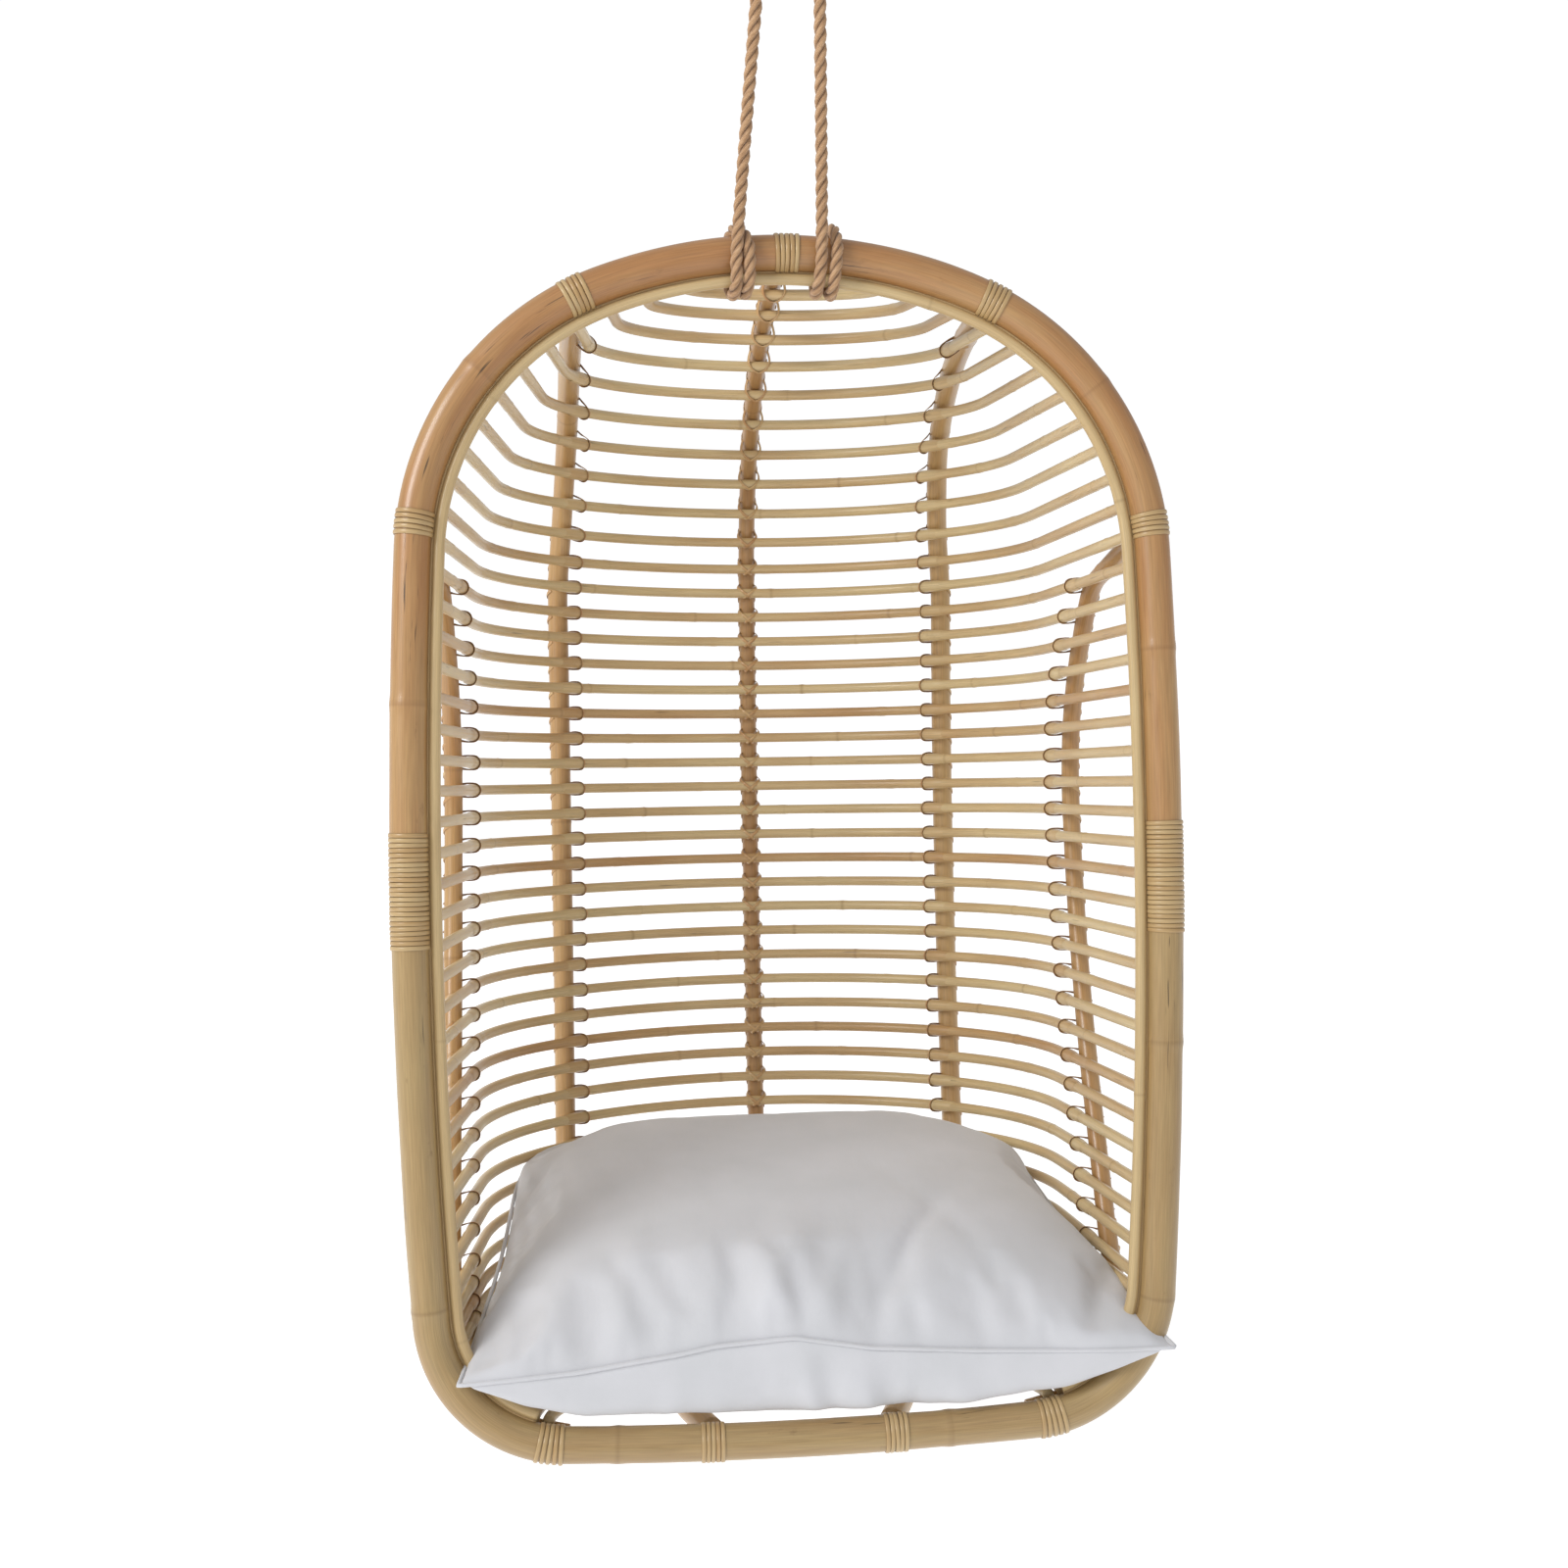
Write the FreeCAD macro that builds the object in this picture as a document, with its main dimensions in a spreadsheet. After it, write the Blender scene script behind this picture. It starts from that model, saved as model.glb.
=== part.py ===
"""Hanging egg chair: a rattan pole shell on a twisted rope, hung from a swivel.

The chair is laid out in the frame of its front hoop: u to the viewer's right, v from the hoop
towards the back and w up along the hoop.  Every chair sub-part is then placed by one common
Placement, which leans the hoop back by hang_lean, so that its weight lies under the hook.
The document's origin is the top face of the ceiling plate, +Z up, millimetres throughout.
"""
import FreeCAD, Part

import os
from math import acos, asin, atan2, cos, degrees, hypot, radians, sin, tan

from FreeCAD import Base, Placement, Rotation

Vec = Base.Vector
ORIGIN = Vec(0, 0, 0)
UP = Vec(0, 0, 1)
BACK = Vec(0, 1, 0)
RIGHT = Vec(1, 0, 0)

doc = FreeCAD.newDocument("hanging_egg_chair")
sheet = doc.addObject("Spreadsheet::Sheet", "Sizes")

SIZES = [
    ("hang_lean", 17.24, "lean of the hoop from upright, degrees"),
    ("pole_radius", 17.0, "main hoop pole"),
    ("crown_height", 525.0, "hoop centreline above the frame's origin"),
    ("crown_arc", 483.0, "radius of the hoop's crown"),
    ("crown_turn", 21.0, "half angle of the crown arc, degrees"),
    ("shoulder_arc", 280.0, "radius of the shoulders"),
    ("shoulder_turn", 66.1, "angle of a shoulder arc, degrees"),
    ("side_arc", 6100.0, "radius of the nearly straight sides"),
    ("side_turn", 6.75, "angle of a side arc, degrees"),
    ("corner_arc", 130.0, "radius of the lower corners"),
    ("corner_turn", 83.2, "angle of a lower corner, degrees"),
    ("trim_radius", 5.6, "thin pole along the hoop's inner edge"),
    ("trim_back", 2.0, "trim pole behind the hoop's centreline"),
    ("rung_radius", 5.8, "cross rungs"),
    ("centre_rib_radius", 10.0, "middle rib"),
    ("inner_rib_radius", 12.0, "ribs each side of the middle one"),
    ("outer_rib_radius", 10.0, "ribs at the sides"),
    ("brace_radius", 9.0, "brace under the back of the seat"),
    ("rung_pitch", 30.4, "rungs up the back"),
    ("seat_pitch", 44.0, "rungs across the seat"),
    ("peel_width", 4.3, "split cane peel of the bindings"),
    ("peel_thickness", 1.2, "split cane peel of the bindings"),
    ("rope_radius", 6.0, "three-strand rope"),
    ("rope_rise", 341.0, "thimble centre above the hoop's crown"),
    ("thimble_groove", 16.0, "radius at the bottom of the groove"),
    ("thimble_bore", 13.0, "radius inside the thimble"),
    ("pin_radius", 5.0, "shackle pin"),
    ("shackle_rod", 4.0, "radius of the shackle's rod"),
    ("shackle_bend", 14.0, "radius of the shackle's bow"),
    ("shackle_leg", 26.0, "straight part of the shackle's legs"),
    ("eye_rod", 4.0, "radius of the eye's rod"),
    ("eye_ring", 12.0, "radius of the eye's ring"),
    ("eye_drop", 46.0, "eye centre below the ceiling"),
    ("stem_radius", 5.0, "swivel stem"),
    ("plate_radius", 45.0, "ceiling plate"),
    ("plate_thickness", 5.0, "ceiling plate"),
    ("housing_radius", 15.0, "swivel housing"),
    ("housing_depth", 20.0, "swivel housing below the plate"),
    ("bolt_circle", 32.0, "radius of the plate's screw circle"),
    ("screw_radius", 3.0, "ceiling screws"),
    ("screw_length", 38.0, "ceiling screws above the plate"),
    ("cushion_width", 590.0, "seat cushion"),
    ("cushion_depth", 460.0, "seat cushion"),
    ("cushion_height", 126.0, "seat cushion"),
    ("cushion_edge", 56.0, "seat cushion's top and bottom edges"),
    ("cushion_back_corner", 150.0, "seat cushion's back corners, seen from above"),
    ("cushion_front_corner", 70.0, "seat cushion's front corners, seen from above"),
    ("running_gap", 0.3, "gap between pieces that only touch"),
]
for row, (alias, value, note) in enumerate(SIZES, start=1):
    sheet.set(f"A{row}", alias)
    sheet.set(f"B{row}", str(value))
    sheet.set(f"C{row}", note)
    sheet.setAlias(f"B{row}", alias)
doc.recompute()


def size(alias):
    """A driving dimension from the spreadsheet."""
    return float(getattr(sheet, alias))


POLE = size("pole_radius")
TRIM = size("trim_radius")
RUNG = size("rung_radius")
ROPE = size("rope_radius")
GAP = size("running_gap")
CROWN = size("crown_height")

# ---------------------------------------------------------------- curves


class ArcChain:
    """Arcs in a plane, each tangent to the one before; a positive turn bends clockwise."""

    def __init__(self, x, y, heading, arcs):
        self.spans = []
        for radius, turn in arcs:
            self.spans.append((x, y, heading, radius, turn))
            x, y = self.along(x, y, heading, radius, turn)
            heading -= turn
        self.end = (x, y, heading)
        self.length = sum(span[3] * radians(span[4]) for span in self.spans)

    @staticmethod
    def along(x, y, heading, radius, turn):
        start, stop = radians(heading), radians(heading - turn)
        return x + radius * (sin(start) - sin(stop)), y + radius * (cos(stop) - cos(start))

    def at(self, distance):
        """Point and heading (degrees) at a distance from the start."""
        for x, y, heading, radius, turn in self.spans:
            span = radius * radians(turn)
            if distance <= span or (x, y, heading, radius, turn) == self.spans[-1]:
                done = degrees(distance / radius)
                return (*self.along(x, y, heading, radius, done), heading - done)
            distance -= span

    def edges(self, place):
        """The arcs as edges; place turns plane coordinates into a point."""
        made = []
        for x, y, heading, radius, turn in self.spans:
            halfway = self.along(x, y, heading, radius, turn / 2)
            end = self.along(x, y, heading, radius, turn)
            made.append(Part.Arc(place(x, y), place(*halfway), place(*end)).toShape())
        return made


ARC_SHARE = 0.45  # part of the shorter run that an arc may take up at each end


def rounded_path(points):
    """Straight runs joined by tangent arcs, as large as the runs beside them allow."""
    edges = []
    start = points[0]
    for before, corner, after in zip(points, points[1:], points[2:]):
        into = (corner - before).normalize()
        out = (after - corner).normalize()
        half_turn = into.getAngle(out) / 2
        reach = ARC_SHARE * min((corner - before).Length, (after - corner).Length)
        radius = reach / tan(half_turn)
        first = corner - into * reach
        last = corner + out * reach
        inwards = (out - into).normalize()
        middle = corner + inwards * (radius / cos(half_turn) - radius)
        edges.append(Part.LineSegment(start, first).toShape())
        edges.append(Part.Arc(first, middle, last).toShape())
        start = last
    edges.append(Part.LineSegment(start, points[-1]).toShape())
    return edges


def round_pole(edges, radius):
    """A round pole of one radius along tangent edges."""
    path = Part.Wire(edges)
    first = edges[0]
    start = first.valueAt(first.FirstParameter)
    direction = first.tangentAt(first.FirstParameter)
    section = Part.Wire(Part.makeCircle(radius, start, direction))
    return path.makePipeShell([section], True, False)


# ---------------------------------------------------------------- hoop, trim and ribs


def hoop_chain(inset=0.0, with_rail=True, corner_turn=None):
    """Right half of the hoop from the crown, or a line inside it at an even distance."""
    arcs = [
        (size("crown_arc") - inset, size("crown_turn")),
        (size("shoulder_arc") - inset, size("shoulder_turn")),
        (size("side_arc") - inset, size("side_turn")),
        (size("corner_arc") - inset, corner_turn or size("corner_turn")),
    ]
    chain = ArcChain(0, CROWN - inset, 0, arcs)
    if with_rail:
        across, _, heading = chain.end
        left_to_turn = 180 + heading
        arcs.append((across / sin(radians(left_to_turn)), left_to_turn))
        chain = ArcChain(0, CROWN - inset, 0, arcs)
    return chain


HOOP = hoop_chain()


def on_hoop(distance, side=1, inset=0.0, back=0.0):
    """A point beside the hoop's centreline, at a distance along it from the crown."""
    if distance < 0:
        distance, side = -distance, -side
    across, height, heading = HOOP.at(distance)
    across += inset * sin(radians(heading))
    height -= inset * cos(radians(heading))
    return Vec(side * across, back, height)


def along_hoop(distance, side=1):
    """Direction of the hoop at a distance from the crown, away from the crown."""
    if distance < 0:
        return along_hoop(-distance, -side) * -1
    heading = radians(HOOP.at(distance)[2])
    return Vec(side * cos(heading), 0, sin(heading))


def both_halves(chain, place):
    """A chain and its mirror image as one run of edges, from the left end to the right."""
    run = []
    for edge in reversed(chain.edges(lambda across, other: place(-across, other))):
        middle = edge.valueAt((edge.FirstParameter + edge.LastParameter) / 2)
        last, first = edge.valueAt(edge.LastParameter), edge.valueAt(edge.FirstParameter)
        run.append(Part.Arc(last, middle, first).toShape())
    return run + chain.edges(place)


# Distances along the hoop from the crown.
SHOULDER_TIE = 205.0
SIDE_TIE = 478.0
SCARF = 819.0
RAIL_TIES = (1392.0, 1544.0)

# The ribs start a little behind the hoop, nailed to it through the bindings.
POLE_END = POLE + 5.0

# The centre rib from the hoop's crown over the back and under the seat.
CENTRE_RIB_RISE = 3.0  # start above the hoop's centreline
CENTRE_RIB_HEADING = 12.0  # upwards, towards the back
CENTRE_RIB_ARCS = [
    (650.0, 27.5),  # over the top
    (500.0, 22.5),
    (215.0, 49.1),  # into the back
    (3950.0, 9.4),  # down the back
    (2000.0, 1.0),
    (110.0, 69.5),  # under the seat
    (9000.0, 2.95),  # along the seat to the front
]
CENTRE_RIB = ArcChain(POLE_END, CROWN + CENTRE_RIB_RISE, CENTRE_RIB_HEADING, CENTRE_RIB_ARCS)
CENTRE_RIB_END = 1660.0
BRACE_AT = 1625.0
BRACE_SLACK = 4.0
BRACE_HALF = 235.0

# ---------------------------------------------------------------- rungs


def rib_inward(heading):
    """Direction from the centre rib into the seat."""
    return Vec(0, sin(radians(heading)), -cos(radians(heading)))


FIRST_RUNG = -1
EVEN_RUNG = 10  # from here down the back the rungs are evenly spaced
LAST_BACK_RUNG = 34
SEAT_RUNGS = 11
EVEN_HOOP_PLACE = 483.0  # of the first evenly spaced rung, from the crown along the hoop
EVEN_RIB_PLACE = 695.0  # and along the centre rib
HOOP_SPREAD = 0.38  # the rungs above it fan out by these times their number squared
RIB_SPREAD = 1.95
CORNER_PITCH = 15.8  # between the seat's rungs, along the hoop
RUNG_INSET = 14.0  # a rung's end, inside the hoop's centreline
RUNG_FRONT = POLE - 0.4  # and behind it, let slightly into the pole
BACK_TURN = 39.0  # half angle of a rung's flat back arc, degrees
FULL_CAP = 0.8537  # depth of a full round back, over its half width
SIDE_LEAN = 4.0  # of a rung's straight ends, degrees


class Rung:
    """A cross rung: flat arc across the back, a tighter arc each side and straight ends."""

    def __init__(self, number):
        above = max(0, EVEN_RUNG - number)
        below = min(number, LAST_BACK_RUNG) - EVEN_RUNG
        seat = max(0, number - LAST_BACK_RUNG)
        step = size("rung_pitch")
        place = EVEN_HOOP_PLACE + step * below - HOOP_SPREAD * above**2 + CORNER_PITCH * seat
        self.hoop_place = place
        rib_place = EVEN_RIB_PLACE + step * below - RIB_SPREAD * above**2
        rib_place += size("seat_pitch") * seat
        back, height, heading = CENTRE_RIB.at(rib_place)
        inside = size("centre_rib_radius") + RUNG + GAP
        back += inside * sin(radians(heading))
        height -= inside * cos(radians(heading))
        self.centre = Vec(0, back, height)
        end = on_hoop(place, 1, RUNG_INSET, RUNG_FRONT)
        self.half_width = end.x
        self.front = Vec(0, end.y, end.z)
        self.reach = self.centre - self.front
        self.depth = self.reach.Length
        self.reach.normalize()
        lean = radians(SIDE_LEAN)
        narrow = (self.half_width - self.depth * tan(lean)) / (1 - FULL_CAP * tan(lean))
        cap = FULL_CAP * narrow
        if cap > self.depth:
            cap, narrow = self.depth, self.half_width
        self.turn = BACK_TURN * cap / (FULL_CAP * narrow)
        across, deep = sin(radians(self.turn)), cos(radians(self.turn))
        lift = tan(radians(self.turn) / 2)
        share = (deep - sin(lean)) - (cos(lean) - across) * lift
        self.corner = (cap - narrow * lift) / share
        self.back_arc = (narrow - self.corner * (cos(lean) - across)) / across
        self.straight = self.depth - cap

    def point(self, across, deep):
        """A point of the rung's plane: across from the middle, deep from the hoop."""
        return self.front + RIGHT * across + self.reach * deep

    def at_heading(self, heading):
        """The point of the right half where the rung has turned by heading from the middle."""
        if heading <= radians(self.turn):
            across = self.back_arc * sin(heading)
            return self.point(across, self.depth - self.back_arc * (1 - cos(heading)))
        joint = self.back_arc * sin(radians(self.turn))
        across = joint + self.corner * (sin(heading) - sin(radians(self.turn)))
        deep = self.straight + self.corner * (cos(heading) - sin(radians(SIDE_LEAN)))
        return self.point(across, deep)

    def direction(self, heading):
        return RIGHT * cos(heading) - self.reach * sin(heading)

    def across_at(self, across):
        """Point and direction at a distance from the middle, short of the straight ends."""
        joint = self.back_arc * sin(radians(self.turn))
        if across <= joint:
            heading = asin(across / self.back_arc)
        else:
            rise = sin(radians(self.turn)) + (across - joint) / self.corner
            heading = asin(min(cos(radians(SIDE_LEAN)), rise))
        return self.at_heading(heading), self.direction(heading)

    def deep_at(self, deep):
        """Point and direction on the right side at a distance back from the hoop."""
        lean = radians(SIDE_LEAN)
        if deep <= self.straight:
            across = self.half_width - deep * tan(lean)
            return self.point(across, deep), self.direction(radians(90) - lean)
        heading = acos(min(1.0, sin(lean) + (deep - self.straight) / self.corner))
        return self.at_heading(heading), self.direction(heading)

    def solid(self):
        arcs = [(self.back_arc, self.turn), (self.corner, 90 - SIDE_LEAN - self.turn)]
        run = both_halves(ArcChain(0, self.depth, 0, arcs), self.point)
        if self.straight > 0:
            across, deep, _ = ArcChain(0, self.depth, 0, arcs).end
            for side, first in ((-1, True), (1, False)):
                ends = [self.point(side * self.half_width, 0), self.point(side * across, deep)]
                if first:
                    run.insert(0, Part.LineSegment(*ends).toShape())
                else:
                    run.append(Part.LineSegment(*reversed(ends)).toShape())
        return round_pole(run, RUNG)


RUNG_NUMBERS = range(FIRST_RUNG, LAST_BACK_RUNG + SEAT_RUNGS + 1)
RUNGS = {number: Rung(number) for number in RUNG_NUMBERS}

# ---------------------------------------------------------------- side ribs

INNER_WIDTH = 221.0  # of an inner rib from the middle, down the back
INNER_TOP_WIDTH = 198.0
INNER_RAIL_WIDTH = 87.0
INNER_FIRST = 2  # first rung that the inner ribs cross
BOW_DEPTH = 305.0  # the outer ribs bow back by this much behind the hoop
BOW_CENTRE = 30.0  # height of their deepest point
BOW_RADIUS_ABOVE = 205.0
BOW_RADIUS_BELOW = 800.0
BOW_SEAT_STEP = 17.0  # and come forward by this much at each rung of the seat
RIB_SLACK = 3.2  # room for the peel between a side rib and the rungs
SHELL_MIDDLE = Vec(0, 250, 0)


def inner_crossing(number):
    rung = RUNGS[number]
    if number <= LAST_BACK_RUNG:
        above = max(0, EVEN_RUNG - number) / (EVEN_RUNG - INNER_FIRST)
        across = INNER_WIDTH + (INNER_TOP_WIDTH - INNER_WIDTH) * above
    else:
        depth = rung.centre.y / RUNGS[LAST_BACK_RUNG].centre.y
        across = INNER_RAIL_WIDTH + (INNER_WIDTH - INNER_RAIL_WIDTH) * depth
    return rung.across_at(across)


def outer_crossing(number):
    rung = RUNGS[number]
    height = RUNGS[min(number, LAST_BACK_RUNG)].centre.z - BOW_CENTRE
    radius = BOW_RADIUS_ABOVE if height > 0 else BOW_RADIUS_BELOW
    deep = BOW_DEPTH - height**2 / (2 * radius)
    deep -= BOW_SEAT_STEP * max(0, number - LAST_BACK_RUNG)
    return rung.deep_at(deep - rung.front.y)


def rib_points(crossing, numbers, radius):
    """Points of a rib that lies outside the rungs it crosses."""
    points = []
    for number in numbers:
        here, along_rung = crossing(number)
        above = crossing(max(number - 1, numbers[0]))[0]
        below = crossing(min(number + 1, numbers[-1]))[0]
        outward = along_rung.cross(below - above).normalize()
        if outward.dot(here - SHELL_MIDDLE) < 0:
            outward = outward * -1
        points.append(here + outward * (radius + RUNG + GAP + RIB_SLACK))
    return points


def mirrored(points):
    return [Vec(-point.x, point.y, point.z) for point in points]


INNER_RUNGS = [2, 3, 4, 5, 6, 8, 10, 12, 15, 18, 21, 24, 27, 30, 32, 34, 35, 36, 38, 40, 42, 44, 45]
OUTER_RUNGS = [11, 12, 14, 16, 18, 20, 22, 24, 26, 28, 30, 32, 34, 36, 38, 40]

SHOULDER_SET = -5.0  # the inner ribs start outside the hoop's centreline
RAIL_SET = 4.0  # and end inside it
OUTER_TURN_BACK = (6.0, -5.0, 95.0)  # second point of an outer rib: on, inset and back
OUTER_TAIL = (30.0, -2.0, 7.0)  # last point but one: before the tie, inset and further back
OUTER_PAST_TIE = 16.0

inner_points = [on_hoop(SHOULDER_TIE, 1, SHOULDER_SET, POLE_END)]
inner_points += rib_points(inner_crossing, INNER_RUNGS, size("inner_rib_radius"))
inner_points.append(on_hoop(RAIL_TIES[1], 1, RAIL_SET, POLE_END))

beside = POLE + 1.8 + size("outer_rib_radius")
further, inset, back = OUTER_TURN_BACK
outer_points = [on_hoop(SIDE_TIE, 1, 0.0, POLE_END)]
outer_points.append(on_hoop(SIDE_TIE + further, 1, inset, back))
outer_points += rib_points(outer_crossing, OUTER_RUNGS, size("outer_rib_radius"))
short, inset, back = OUTER_TAIL
outer_points.append(on_hoop(RAIL_TIES[0] - short, 1, inset, beside + back))
outer_points.append(on_hoop(RAIL_TIES[0] + OUTER_PAST_TIE, 1, 0.0, beside))

# ---------------------------------------------------------------- sub-parts

LEAN = size("hang_lean")
PIN_HEIGHT = -size("eye_drop") - size("eye_ring") + 2 * size("eye_rod") + GAP
PIN_HEIGHT -= size("shackle_bend") + size("shackle_leg")
THIMBLE_HEIGHT = PIN_HEIGHT - (size("thimble_bore") - size("pin_radius") - GAP)
ROPE_TURN = size("thimble_groove") + ROPE
HITCH_BORE = POLE + 1.5
HITCH_OFFSET = HITCH_BORE + ROPE + 0.2
crown_world = Vec(0, HITCH_OFFSET, THIMBLE_HEIGHT - size("rope_rise"))
lean_rotation = Rotation(RIGHT, -LEAN)
crown_local = Vec(0, 0, CROWN)
HOOP_PLACE = Placement(crown_world - lean_rotation.multVec(crown_local), lean_rotation)
made = []


def feature(name, shape, place):
    """A sub-part whose shape is set here; its place is set after its shape."""
    if not isinstance(shape, list):
        shape = [shape]
    item = doc.addObject("Part::Feature", name)
    item.Label = name
    item.Shape = shape[0] if len(shape) == 1 else Part.makeCompound(shape)
    item.Placement = place
    made.append(item)
    return item


def primitive(kind, name, cells, place=None, **values):
    """A Part primitive with sizes bound to the spreadsheet's cells."""
    item = doc.addObject(kind, name)
    item.Label = name
    for prop, value in values.items():
        setattr(item, prop, value)
    for prop, cell in cells.items():
        item.setExpression(prop, cell)
    item.Placement = place or Placement()
    return item


PEEL_APART = 0.2  # between two turns of peel
PEEL_LIFT = 0.12  # of the peel off the pole
BEND_ROOM = 0.3


def peel_ring(distance, side, radius):
    """One turn of flat peel around the hoop."""
    width = size("peel_width")
    along = along_hoop(distance, side)
    start = on_hoop(distance, side) - along * (width / 2)
    outer = Part.makeCylinder(radius + size("peel_thickness"), width, start, along)
    inner = Part.makeCylinder(radius, width, start, along)
    return outer.cut(inner)


def binding(name, distance, side, turns):
    """Turns of peel side by side, clear of each other on the inside of a bend."""
    before = HOOP.at(abs(distance) + 1)[2]
    after = HOOP.at(abs(distance) + 2)[2]
    bend = radians(before - after)
    reach = POLE + size("peel_thickness") + BEND_ROOM
    pitch = (size("peel_width") + PEEL_APART) / (1 - reach * bend)
    first = distance - pitch * (turns - 1) / 2
    rings = [peel_ring(first + pitch * turn, side, POLE + PEEL_LIFT) for turn in range(turns)]
    cut_rings = [ring.cut(nail_group) for ring in rings]
    return feature(name, cut_rings, HOOP_PLACE)


# hoop: one closed pole, cut by a slanting scarf at each side
hoop_run = both_halves(HOOP, lambda across, height: Vec(across, 0, height))
right_pole = round_pole(HOOP.edges(lambda across, height: Vec(across, 0, height)), POLE)
left_pole = right_pole.mirror(ORIGIN, RIGHT)
whole_hoop = right_pole.fuse(left_pole)
scarf = on_hoop(SCARF)
SLANT = 40.0  # half the scarf's height
OUTSIDE = CROWN  # clear of the hoop on every side
inside = scarf.x - POLE - 1
outside = scarf.x + POLE + 1
corners = [
    (-OUTSIDE, scarf.z + SLANT),
    (-outside, scarf.z + SLANT),
    (-inside, scarf.z - SLANT),
    (inside, scarf.z - SLANT),
    (outside, scarf.z + SLANT),
    (OUTSIDE, scarf.z + SLANT),
    (OUTSIDE, CROWN + OUTSIDE),
    (-OUTSIDE, CROWN + OUTSIDE),
    (-OUTSIDE, scarf.z + SLANT),
]
outline = Part.makePolygon([Vec(across, -2 * POLE, height) for across, height in corners])
above_scarf = Part.Face(outline).extrude(BACK * (4 * POLE))
upper = whole_hoop.common(above_scarf)
lower = whole_hoop.cut(above_scarf)

# nails through the hoop into the ribs
nail_places = [on_hoop(0)]
for side in (-1, 1):
    nail_places += [on_hoop(SHOULDER_TIE, side, SHOULDER_SET), on_hoop(SIDE_TIE, side)]
    nail_places += [on_hoop(RAIL_TIES[0], side), on_hoop(RAIL_TIES[1], side)]
NAIL_RADIUS = 1.5
NAIL_LENGTH = 50.0
NAIL_START = 14.5  # in front of the pole's centreline
nails = []
for point in nail_places:
    nails.append(Part.makeCylinder(NAIL_RADIUS, NAIL_LENGTH, point - BACK * NAIL_START, BACK))
nail_group = Part.makeCompound(nails)

feature("hoop_upper", upper.cut(nail_group), HOOP_PLACE)
feature("hoop_lower", lower.cut(nail_group), HOOP_PLACE)
feature("rib_nails", nails, HOOP_PLACE)

TRIM_CORNER_TURN = 68.0  # the trim pole ends part of the way round the lower corners
trim_inset = POLE + size("peel_thickness") + BEND_ROOM + TRIM
trim_chain = hoop_chain(trim_inset, False, TRIM_CORNER_TURN)
trim_back = size("trim_back")
trim_run = both_halves(trim_chain, lambda across, height: Vec(across, trim_back, height))
feature("trim_pole", round_pole(trim_run, TRIM), HOOP_PLACE)

centre_edges = CENTRE_RIB.edges(lambda back, height: Vec(0, back, height))
centre_rib = round_pole(centre_edges, size("centre_rib_radius"))
rib_end = CENTRE_RIB.at(CENTRE_RIB_END)
END_BOX = 200.0  # a box over everything in front of the rib's end, under the seat
beyond_start = Vec(-END_BOX / 2, -END_BOX / 2, rib_end[1] - END_BOX * 3 / 4)
beyond = Part.makeBox(END_BOX, rib_end[0] + END_BOX / 2, END_BOX, beyond_start)
centre_rib = centre_rib.cut(beyond)
feature("rib_centre", centre_rib.cut(nail_group), HOOP_PLACE)

for side, word in ((-1, "left"), (1, "right")):
    for name, points in (("inner", inner_points), ("outer", outer_points)):
        run = points if side > 0 else mirrored(points)
        pole = round_pole(rounded_path(run), size(f"{name}_rib_radius"))
        feature(f"rib_{name}_{word}", pole.cut(nail_group), HOOP_PLACE)

# brace under the ribs at the back of the seat
back, height, heading = CENTRE_RIB.at(BRACE_AT)
drop = size("inner_rib_radius") + size("brace_radius") + BRACE_SLACK
brace_start = Vec(-BRACE_HALF, back, height) - rib_inward(heading) * drop
brace = Part.makeCylinder(size("brace_radius"), 2 * BRACE_HALF, brace_start, RIGHT)
feature("seat_brace", brace, HOOP_PLACE)

RUNGS_PER_NODE = 3
numbers = list(RUNG_NUMBERS)
for start in range(0, len(numbers), RUNGS_PER_NODE):
    group = numbers[start : start + RUNGS_PER_NODE]
    poles = [RUNGS[number].solid() for number in group]
    feature(f"rungs_{start // RUNGS_PER_NODE + 1:02d}", poles, HOOP_PLACE)

binding("binding_crown", 0.0, 1, 5)
for side, word in ((-1, "left"), (1, "right")):
    binding(f"binding_shoulder_{word}", SHOULDER_TIE, side, 5)
    binding(f"binding_side_{word}", SIDE_TIE, side, 5)
    binding(f"scarf_wrap_{word}", SCARF, side, 24)
    binding(f"binding_rail_outer_{word}", RAIL_TIES[0], side, 5)
    binding(f"binding_rail_inner_{word}", RAIL_TIES[1], side, 5)

# ---------------------------------------------------------------- rope and its hitches

LEG_LEFT = -49.5  # the rope's legs where they meet the hoop, from its middle
LEG_RIGHT = 32.0
HITCH_CENTRES = {"left": -42.5, "right": 39.0}
HITCH_WIDTH = 27.0
HITCH_REACH = 13.0  # the turns hang lower than the hoop, round the trim pole
HITCH_SLACK = 0.4
BORE_BEYOND = 10.0  # the bore is cut this far past each end of the hitch


def thimble_point(angle, radius):
    """A point around the thimble's centre, its angle counted up from the viewer's right."""
    across, up = radius * cos(radians(angle)), radius * sin(radians(angle))
    return Vec(across, 0, THIMBLE_HEIGHT + up)


def leaving_angle(foot):
    """Angle of the thimble's radius where a leg that comes down to the foot leaves it."""
    away = hypot(foot, size("rope_rise"))
    return degrees(acos(ROPE_TURN / away) - atan2(size("rope_rise"), abs(foot)))


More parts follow.
